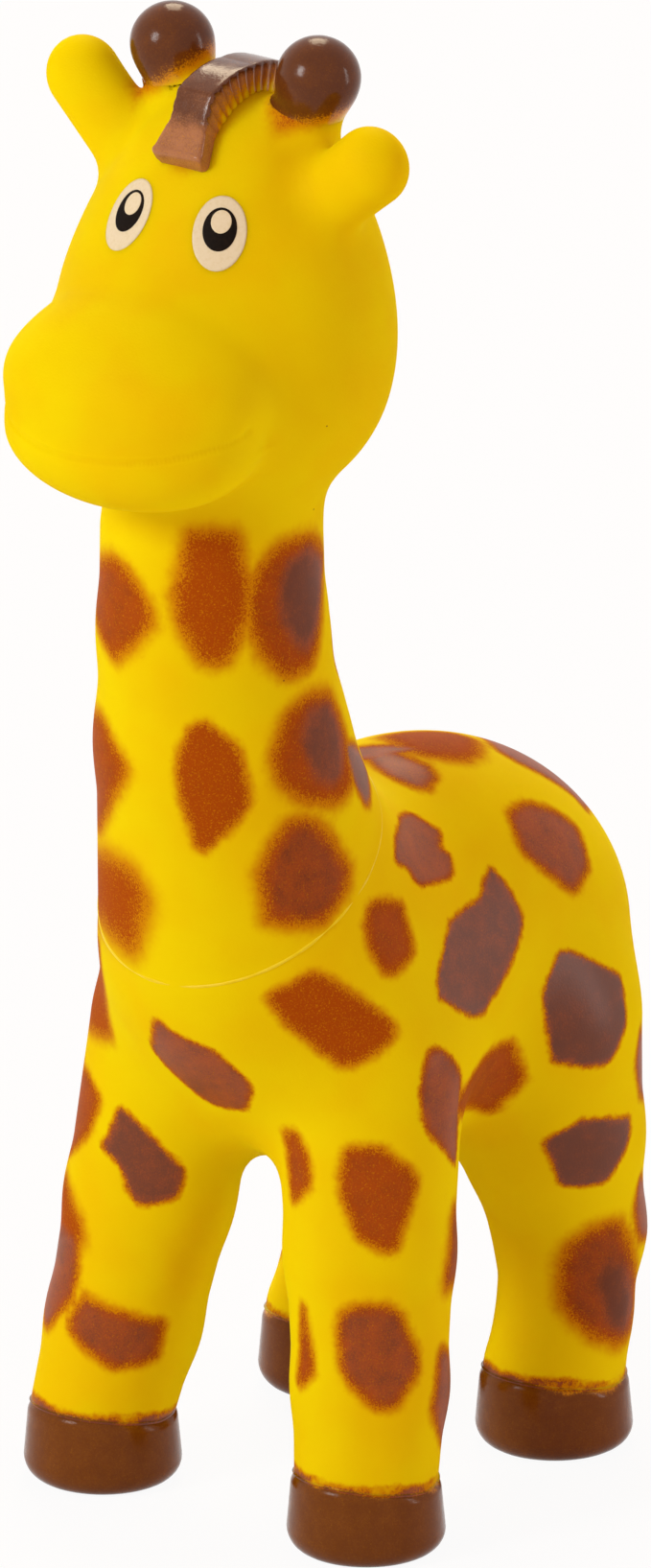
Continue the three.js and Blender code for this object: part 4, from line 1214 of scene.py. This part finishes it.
MOUTH_HEIGHT = 155
MOUTH_CORNER_RISE = 3.6
MOUTH_SWEEP = 78
MOUTH_STEPS = 90
MOUTH_BACKSET = 15
MOUTH_REACH = 1.5
MOUTH_WIDTH = 0.42
MOUTH_DEPTH = 0.2
DIMPLE_WIDTH = 1.1
DIMPLE_DEPTH = 0.3
CREASE_WIDTH = 2.2
CREASE_DEPTH = 0.25
ANKLE_TUCK = 0.8
HORN_CUT_REACH = 5
HORN_CUT_SPREAD = 0.35
HORN_FOOT_SHARE = -0.15


def mouth_line():
    """Places on the face along the mouth, from one corner round the muzzle to the other."""
    turns = np.radians(np.linspace(-MOUTH_SWEEP, MOUTH_SWEEP, MOUTH_STEPS))
    rise = MOUTH_CORNER_RISE * (turns / turns[-1]) ** 2
    middle = HEAD_MIDDLE - [0, MOUTH_BACKSET, 0]
    inside = np.column_stack([np.zeros_like(turns), np.full_like(turns, middle[1]), MOUTH_HEIGHT + rise])
    out = np.column_stack([np.sin(turns), -np.cos(turns), np.zeros_like(turns)])
    return surface_along(face_field, inside, out, HEAD_SIZES[0])


def carve_face(bm):
    """Presses the mouth line, its corner dimples and the crease over the muzzle into the skin."""
    line = mouth_line()
    points = places_of(bm.verts)
    front = points[:, 1] < HEAD_MIDDLE[1]
    close = np.zeros(len(points), bool)
    close[front] = distance_to(points[front], line) < MOUTH_REACH
    bm.verts.ensure_lookup_table()
    edges = [edge for edge in bm.edges if close[edge.verts[0].index] and close[edge.verts[1].index]]
    bmesh.ops.subdivide_edges(bm, edges=edges, cuts=2, use_grid_fill=True)
    top = HEAD_HEIGHT + HEAD_SIZES[2] / 2
    near = [vertex for vertex in bm.verts if vertex.co.y < HEAD_MIDDLE[1] and vertex.co.z < top]
    points = settled(head_field, places_of(near))
    normals = normals_of(head_field, points)
    press = MOUTH_DEPTH * np.exp(-(distance_to(points, line) / MOUTH_WIDTH) ** 2)
    press += DIMPLE_DEPTH * np.exp(-(distance_to(points, line[[0, -1]]) / DIMPLE_WIDTH) ** 2)
    apart = skull_field(points) - muzzle_field(points)
    press += CREASE_DEPTH * np.exp(-(apart / CREASE_WIDTH) ** 2) * (points[:, 2] > MOUTH_HEIGHT)
    for vertex, place in zip(near, points - normals * press[:, None]):
        vertex.co = place


def skin(name, field, box, pitch, cuts, carve=None):
    """The field's skin as a mesh, carved if asked and then cut. A cut is what cut_away takes."""
    points, quads = net(field, *np.array(box, float), pitch)
    bm = bmesh.new()
    corners = [bm.verts.new(point) for point in points.tolist()]
    for quad in quads.tolist():
        bm.faces.new([corners[i] for i in quad])
    bm.verts.index_update()
    if carve:
        carve(bm)
    for face in bm.faces:
        face.smooth = True
    for cut in cuts:
        cut_away(bm, *cut)
    mesh = bpy.data.meshes.new(name)
    bm.to_mesh(mesh)
    bm.free()
    mesh.vertices.foreach_set("co", in_row(places_of(mesh.vertices)).ravel())
    mesh.update()
    return mesh


def everywhere(place):
    return True


def cut_away(bm, point, normal, near=everywhere):
    """Takes off what lies past a plane, of the places that pass a test, and closes the hole."""
    corners = [vertex for vertex in bm.verts if near(vertex.co)]
    kept = set(corners)
    edges = [edge for edge in bm.edges if edge.verts[0] in kept and edge.verts[1] in kept]
    faces = [face for face in bm.faces if all(vertex in kept for vertex in face.verts)]
    bmesh.ops.bisect_plane(
        bm, geom=corners + edges + faces, plane_co=point, plane_no=normal, clear_outer=True)
    rims = [edge for edge in bm.edges if edge.is_boundary]
    for edge in rims:
        edge.smooth = False
    for face in bmesh.ops.holes_fill(bm, edges=rims, sides=0)["faces"]:
        face.smooth = False


def near_horn(side):
    """A test for places on a horn: close round its stalk, and wider towards its knob."""
    point, axis = horn_plane(side)

    def near(place):
        offset = np.array(place[:]) - point + HORN_STALK_INSET * side
        along = offset @ axis
        away = np.linalg.norm(offset - along * axis)
        reach = HORN_CUT_REACH + HORN_CUT_SPREAD * max(along, 0)
        return away < reach and along > HORN_LENGTH * HORN_FOOT_SHARE
    return near


def make_skins(vinyl, horn_paint, sprays):
    ankle = [0, 0, HOOF_HEIGHT - ANKLE_TUCK]
    cuts = [(SEAM_MIDDLE, SEAM_NORMAL), (ankle, -UPWARD)]
    body = skin("body_skin", body_field, BODY_BOX, BODY_PITCH, cuts)
    add_piece("body_skin", body, ["body_shell"], vinyl, sprays)
    cuts = [(SEAM_MIDDLE, -SEAM_NORMAL)]
    for side in SIDES.values():
        cuts.append((*horn_plane(side), near_horn(side)))
    head = skin("head_skin", head_field, HEAD_BOX, HEAD_PITCH, cuts, carve_face)
    add_piece("head_skin", head, ["head_shell"], vinyl, sprays)
    for word, side in SIDES.items():
        point, axis = horn_plane(side)
        end = point + axis * HORN_LENGTH
        box = (np.minimum(point, end) - HORN_KNOB_DIAMETER, np.maximum(point, end) + HORN_KNOB_DIAMETER)
        name = f"horn_{word}_tip"
        tip = skin(name, horned_field, box, HORN_PITCH, [(point, -axis)])
        paint = HornPaint(DENSE, HORN_TIP_REACH)
        add_piece(name, tip, [f"horn_{word}"], horn_paint, [paint])


# Hooves: cups turned round their own middle, with a groove where they meet the leg

HOOF_SEGMENTS = 96
WALL = 2.5
ARC_STEPS = 8
HOOF_RIM_SWEEP = 75
RIM_GROOVE_DEPTH = 0.3
RIM_GROOVE_WIDTH = 0.5


def arc(middle, height, radius, start, end):
    turns = np.radians(np.linspace(start, end, ARC_STEPS + 1))
    return [(middle + radius * cos(t), height + radius * sin(t)) for t in turns]


def hoof_profile():
    """Radius and height from the middle of the sole, round the outside, to the floor of the cup."""
    outer = HOOF_DIAMETER / 2
    rim = outer - HOOF_TAPER
    ankle = ANKLE_DIAMETER / 2
    inner = ankle - WALL
    cup_floor = HOOF_HEIGHT - WALL
    return [
        (TINY, 0),
        *arc(outer - HOOF_EDGE_RADIUS, HOOF_EDGE_RADIUS, HOOF_EDGE_RADIUS, -90, 0),
        *arc(rim - HOOF_RIM_RADIUS, HOOF_HEIGHT - HOOF_RIM_RADIUS, HOOF_RIM_RADIUS, 0, HOOF_RIM_SWEEP),
        (ankle + RIM_GROOVE_WIDTH / 2, HOOF_HEIGHT - RIM_GROOVE_DEPTH),
        (ankle - RIM_GROOVE_WIDTH, HOOF_HEIGHT),
        (inner, HOOF_HEIGHT), (inner, cup_floor), (TINY, cup_floor),
    ]


def turned(profile, segments):
    angles = np.arange(segments) * 2 * pi / segments
    points = [(r * cos(a), r * sin(a), z) for r, z in profile for a in angles]
    faces = [(a, d, c, b) for a, b, c, d in bands(len(profile), segments)]
    last = (len(profile) - 1) * segments
    faces.append(tuple(range(segments))[::-1])
    faces.append(tuple(last + i for i in range(segments)))
    return np.array(points), faces


def make_hooves(material, sprays):
    for end, middle in HOOF_MIDDLES.items():
        for side, sign in SIDES.items():
            points, faces = turned(hoof_profile(), HOOF_SEGMENTS)
            points[:, 2] += hoof_rise(points) * points[:, 2] / HOOF_HEIGHT
            node = f"hoof_{end}_{side}"
            mesh = mesh_of(node + "_painted", points + middle * [sign, 1, 1], faces)
            add_piece(node + "_painted", mesh, [node], material, sprays)


# Mane: a ridge of fluted locks, laid along the skin from the brow down the nape

MANE_WALL_SHARES = [0, 0.25, 0.45, 0.6, 0.72, 0.82, 0.9]
MANE_EDGE_RADIUS = 0.55
MANE_EDGE_STEPS = 4
MANE_TOP_STEPS = 8
MANE_LIP = 1.1
MANE_END_TAPER = 4
MANE_END_RISE = 0.05
MANE_LOCK_START_SHARE = 0.1
MANE_BARE_HEIGHT = 2.1
MANE_BARE_START_SHARE = 0.08
MANE_BARE_FULL_SHARE = 0.2
MANE_STRAND_REACH = 1.3
MANE_STRAND_VARIETY = 0.5
MANE_STRAND_PACE = 2.3
MANE_BEAD_AT = 0.7
MANE_BEAD_HALF = 0.5
MANE_BEAD_RISE = 0.5
MANE_CORNER_RADIUS = 1.3
MANE_CORNER_SHARE = 0.24
MANE_LOCK_RAMP_SHARE = 0.06
MANE_PAINT_SOFTNESS = 1.6
# How deep the locks are cut, and how dense the paint is, at shares of the height
MANE_LOCK_FADE = ([0, 0.3, 0.86, 1], [0.4, 1, 1, 0])
MANE_DENSITIES = ([0, 0.7, 0.95], [THIN, LIGHT, DARK])
MANE_CROWN_STEPS = 90
MANE_NAPE_STEPS = 80


def mane_path():
    """Evenly spaced places on the skin under the mane, how far along they are, and the rise."""
    turns = np.radians(np.linspace(MANE_START_ANGLE, MANE_END_ANGLE, MANE_CROWN_STEPS))
    out = np.column_stack([np.zeros_like(turns), -np.cos(turns), np.sin(turns)])
    inside = np.repeat(CROWN_MIDDLE[None], len(turns), 0)
    shares = np.linspace(0, 1, len(turns))
    down = np.linspace(0, 1, MANE_NAPE_STEPS)[1:, None]
    to_end = neck_point(MANE_LOWER_END_SHARE) - CROWN_MIDDLE
    inside = np.concatenate([inside, CROWN_MIDDLE + to_end * down])
    out = np.concatenate([out, np.repeat(BACKWARD[None], len(down), 0)])
    shares = np.concatenate([shares, np.ones(len(down))])
    at = surface_along(figure_field, inside, out, HEAD_SIZES[1] / 2 + MANE_HEIGHT)
    run = np.concatenate([[0], np.cumsum(np.linalg.norm(np.diff(at, axis=0), axis=1))])
    even = np.arange(0, run[-1], MANE_STEP)
    at = np.column_stack([np.interp(even, run, at[:, axis]) for axis in range(3)])
    shares = np.interp(even, run, shares)
    return at, even, shares, np.interp(shares, *np.array(MANE_RISE_SHARES).T)


def mane_side(half, top):
    """Half of a slice across the mane, from the foot up to the middle: how far out, and height."""
    edge = min(MANE_EDGE_RADIUS, top / 2)
    wall = [(half, share * (top - edge)) for share in MANE_WALL_SHARES]
    turns = np.linspace(0, pi / 2, MANE_EDGE_STEPS + 1)
    corner = [(half - edge + edge * cos(t), top - edge + edge * sin(t)) for t in turns]
    flat = [(x, top) for x in np.linspace(half - edge, 0, MANE_TOP_STEPS // 2 + 1)[1:]]
    return [(half, -MANE_ROOT)] + wall + corner + flat


def make_mane(material):
    at, run, share, rise = mane_path()
    out = np.cross(unit(np.gradient(at, axis=0)), -LEFTWARD)
    widening = np.maximum(1 - share / MANE_FOOT_REACH_SHARE, 0) * (MANE_FOOT_WIDTH_SHARE - 1)
    points, depths, densities = [], [], []
    for i in range(len(at)):
        to_corner = 1 - min(run[i] / MANE_CORNER_RADIUS, 1)
        narrowing = MANE_CORNER_SHARE * (1 - sqrt(1 - to_corner ** 2))
        half = MANE_WIDTH / 2 * (1 + widening[i]) * (1 - narrowing)
        lip = min(run[i] / MANE_LIP, 1)
        bead = MANE_BEAD_RISE * exp(-((run[i] - MANE_BEAD_AT) / MANE_BEAD_HALF) ** 2)
        end = min((run[-1] - run[i]) / MANE_END_TAPER, 1)
        top = (rise[i] * MANE_HEIGHT + bead) * sqrt(1 - (1 - lip) ** 2) * (1 - (1 - end) ** 2)
        top = max(top, MANE_END_RISE)
        groove = (0.5 - 0.5 * cos(2 * pi * run[i] / MANE_LOCK_PITCH)) ** 2
        locked = np.clip((share[i] - MANE_LOCK_START_SHARE) / MANE_LOCK_RAMP_SHARE, 0, 1)
        bare = np.interp(
            share[i], [MANE_BARE_START_SHARE, MANE_BARE_FULL_SHARE], [-MANE_ROOT, MANE_BARE_HEIGHT])
        strand = 1 + MANE_STRAND_VARIETY * sin(run[i] * MANE_STRAND_PACE)
        bare -= groove * locked * MANE_STRAND_REACH * strand
        side = mane_side(half, top)
        for x, height in side + [(-x, height) for x, height in side[-2::-1]]:
            inset = MANE_LOCK_DEPTH * groove * locked * np.interp(height / top, *MANE_LOCK_FADE)
            inset = inset * np.sign(x) if abs(x) > half / 2 else 0
            points.append(at[i] + [x - inset, 0, 0] + out[i] * height)
            depths.append(height - bare)
            dense = np.interp(height / top, *MANE_DENSITIES)
            # Before the locks start, on the front plate, the paint is light, which shows the mane's painted
            # sheen.
            densities.append(dense * locked + LIGHT * (1 - locked))
    steps = len(points) // len(at)
    last = len(points) - steps
    faces = bands(len(at), steps)
    faces.append(tuple(range(steps)))
    faces.append(tuple(last + j for j in range(steps))[::-1])
    mesh = mesh_of("mane_locks", points, faces)
    store(mesh, paint_depth=depths, paint_softness=MANE_PAINT_SOFTNESS, paint_density=densities)
    add_piece("mane_locks", mesh, ["mane"], material)


# Tail tuft

TUFT_RINGS = 18
TUFT_SEGMENTS = 54
TUFT_LOCKS = 9
TUFT_LOCK_DEPTH_SHARE = 0.1
TUFT_TWIST = 0.06
TUFT_PAINT_RISE = 1


def make_tuft(material):
    before, end = TAIL[-2][0], TAIL[-1][0]
    axis = Vector(end - before).normalized()
    shares = np.linspace(0, 1, TUFT_RINGS)
    radii = TUFT_DIAMETER / 2 * np.interp(shares, *np.array(TUFT_SHARES).T) + TINY
    profile = [(TINY, 0)] + list(zip(radii, shares * TUFT_LENGTH))
    points, faces = turned(profile, TUFT_SEGMENTS)
    turns = np.arctan2(points[:, 1], points[:, 0]) + points[:, 2] * TUFT_TWIST
    points[:, :2] *= 1 - TUFT_LOCK_DEPTH_SHARE * (0.5 + 0.5 * np.cos(turns * TUFT_LOCKS))[:, None]
    turn = np.array(Vector((0, 0, 1)).rotation_difference(axis).to_matrix())
    mesh = mesh_of("tail_tuft_locks", points @ turn.T + end, faces)
    depth = points[:, 2] + TUFT_PAINT_RISE
    store(mesh, paint_depth=depth, paint_softness=GRAINY, paint_density=DENSE)
    add_piece("tail_tuft_locks", mesh, ["tail_tuft"], material)


# Eyes: printed patches that follow the face

EYE_RINGS = 14
EYE_SEGMENTS = 72
PUPIL_SHARES = (0.625, 0.58)
PUPIL_RISE = 0.5
GLINT_SIZES = (2.7, 3.1)
GLINT_RISE = 1.5
GLINT_SIDE = 0.1
PRINT_EDGE = 0.15
PRINT_SIDE = 1.4
PRINT_SHARES = (0.9, 1.02)


def print_patch(name, side, sizes, rise, shift, lift, nodes, material):
    """A thin oval of ink, on the face in front of a place inside the head."""
    middle = np.array([side * EYE_SPACING / 2 + PRINT_SIDE, HEAD_MIDDLE[1], HEAD_HEIGHT + EYE_RISE])
    front = surface_along(face_field, middle[None], -BACKWARD, HEAD_SIZES[1])[0]
    across, up = level_axes(normals_of(face_field, front[None])[0])
    points = []
    for ring in range(EYE_RINGS + 1):
        for i in range(EYE_SEGMENTS):
            angle = 2 * pi * i / EYE_SEGMENTS
            x = shift + sizes[0] / 2 * ring / EYE_RINGS * cos(angle)
            y = rise + sizes[1] / 2 * ring / EYE_RINGS * sin(angle)
            points.append(front + across * x + up * y)
    points = settled(head_field, np.array(points))
    normals = normals_of(head_field, points)
    edge = points[-EYE_SEGMENTS:] - normals[-EYE_SEGMENTS:] * PRINT_EDGE
    points = np.concatenate([points + normals * lift, edge])
    mesh = mesh_of(name, points, bands(EYE_RINGS + 2, EYE_SEGMENTS))
    add_piece(name, mesh, nodes, material)


def make_eyes(cream, black):
    for word, side in SIDES.items():
        white = (EYE_WIDTH * PRINT_SHARES[0], EYE_TALL * PRINT_SHARES[1])
        pupil = (white[0] * PUPIL_SHARES[0], white[1] * PUPIL_SHARES[1])
        print_patch(f"eye_{word}_print", side, white, 0, 0, PRINT_THICKNESS,
                    [f"eye_{word}"], cream)
        print_patch(f"pupil_{word}_print", side, pupil, PUPIL_RISE, 0, 2 * PRINT_THICKNESS,
                    [f"pupil_{word}"], black)
        print_patch(f"glint_{word}_print", side, GLINT_SIZES, GLINT_RISE, GLINT_SIDE, 3 * PRINT_THICKNESS,
                    [], cream)


# Glue line round the neck seam

GLUE_STEPS = 300
GLUE_SIDES = 8
GLUE_RADIUS = 0.25
GLUE_SUNK_SHARE = 0.7
GLUE_WAVES = (2, 26)
GLUE_SWELL_SHARE = 0.3
GLUE_SWELL_LIMITS = (-1.5, 2)


def make_glue(material):
    chance = np.random.default_rng(SEED + 1)
    turns = np.arange(GLUE_STEPS) * 2 * pi / GLUE_STEPS
    ahead = np.cross(SEAM_NORMAL, LEFTWARD)
    out = np.cos(turns)[:, None] * LEFTWARD + np.sin(turns)[:, None] * ahead
    ring = surface_along(figure_field, np.repeat(SEAM_MIDDLE[None], GLUE_STEPS, 0), out, NECK_ROOT_DIAMETER)
    swell = np.zeros(GLUE_STEPS)
    for waves in range(*GLUE_WAVES):
        height = chance.uniform(-1, 1) / sqrt(waves)
        swell += height * np.cos(waves * turns + chance.uniform(0, 2 * pi))
    radius = GLUE_RADIUS * (1 + GLUE_SWELL_SHARE * np.clip(swell, *GLUE_SWELL_LIMITS))
    points = []
    for i in range(GLUE_STEPS):
        for k in range(GLUE_SIDES):
            angle = 2 * pi * k / GLUE_SIDES
            lift = radius[i] * cos(angle) - GLUE_RADIUS * GLUE_SUNK_SHARE
            points.append(ring[i] + out[i] * lift + SEAM_NORMAL * radius[i] * sin(angle))
    mesh = mesh_of("glue_line", points, bands(GLUE_STEPS, GLUE_SIDES, closed=True))
    add_piece("glue_line", mesh, ["neck_glue"], material)


# Floor, world and lamps, in metres

FLOOR_REACH = 3
FLOOR_GLOW = 0.94
ROOM_LIGHT = 0.56
ROOM_COLOUR = (1, 0.56, 0.4, 1)
WHITE = (1, 1, 1, 1)
LAMP_DISTANCE = 1.2
# Azimuth and elevation in degrees, width, height, watts and colour
LAMPS = {
    "key": (-19, 30, 0.32, 0.36, 6.2, (1, 1, 1)),
    "back": (217, 48, 0.4, 0.6, 5.8, (1, 0.84, 0.6)),
    "rim": (120, 10, 0.1, 0.8, 2.5, (1, 1, 1)),
}


def make_floor():
    mesh = bpy.data.meshes.new("floor")
    corners = np.array([(-1, -1, 0), (1, -1, 0), (1, 1, 0), (-1, 1, 0)]) * FLOOR_REACH
    mesh.from_pydata(corners.tolist(), [], [(0, 1, 2, 3)])
    floor = add_object("floor", mesh)
    s = new_shader("floor")
    colour = s.mixed(s.noise(FLOOR_PATCHES), GREY_FLOOR, PALE_FLOOR)
    ground = s.surface("ShaderNodeBsdfDiffuse", Color=colour)
    glow = s.surface("ShaderNodeEmission")
    share = s.math("MULTIPLY", s.looking(), FLOOR_GLOW)
    mesh.materials.append(s.shown(s.either(share, ground, glow)))


def make_world():
    world = bpy.data.worlds.new("studio")
    bpy.context.scene.world = world
    s = Shader(world)
    room = s.surface("ShaderNodeBackground", Color=ROOM_COLOUR, Strength=ROOM_LIGHT)
    white = s.surface("ShaderNodeBackground", Color=WHITE, Strength=1)
    s.shown(s.either(s.looking(), room, white), "ShaderNodeOutputWorld")


def add_lamp(name, azimuth, elevation, width, height, power, colour):
    back = Vector(outward(azimuth, elevation))
    data = bpy.data.lights.new(name, "AREA")
    data.shape = "RECTANGLE"
    data.size = width
    data.size_y = height
    data.energy = power
    data.color = colour
    lamp = add_object(name, data)
    lamp.rotation_mode = "QUATERNION"
    lamp.location = Vector((0, 0, AIM_HEIGHT * MM)) + back * LAMP_DISTANCE
    lamp.rotation_quaternion = back.to_track_quat("Z", "Y")


def main():
    sprays = all_sprays()
    vinyl = vinyl_material()
    horn_paint = paint_material("brown_horn_paint", HORN_PAINT, WORN_HORN_PAINT, HORN_GLOSS)
    mane_paint = paint_material("brown_mane_paint", MANE_PAINT, THIN_MANE_PAINT_AND_SHEEN, MANE_GLOSS)
    hoof_paint = paint_material("brown_hoof_paint", HOOF_PAINT, WORN_HOOF_PAINT, HOOF_GLOSS)
    make_skins(vinyl, horn_paint, sprays)
    make_hooves(hoof_paint, sprays)
    make_mane(mane_paint)
    make_tuft(hoof_paint)
    make_eyes(
        plain_material("cream_eye_print", CREAM_INK, WORN_CREAM_INK, **INK_LOOK),
        plain_material("black_eye_print", BLACK_INK, WORN_BLACK_INK, **INK_LOOK))
    make_glue(plain_material("clear_glue", GLUE, YELLOWED_GLUE, **GLUE_LOOK))
    make_floor()
    make_world()
    for name, lamp in LAMPS.items():
        add_lamp(name, *lamp)
    make_camera()
    bpy.context.scene.view_settings.view_transform = "Standard"


main()
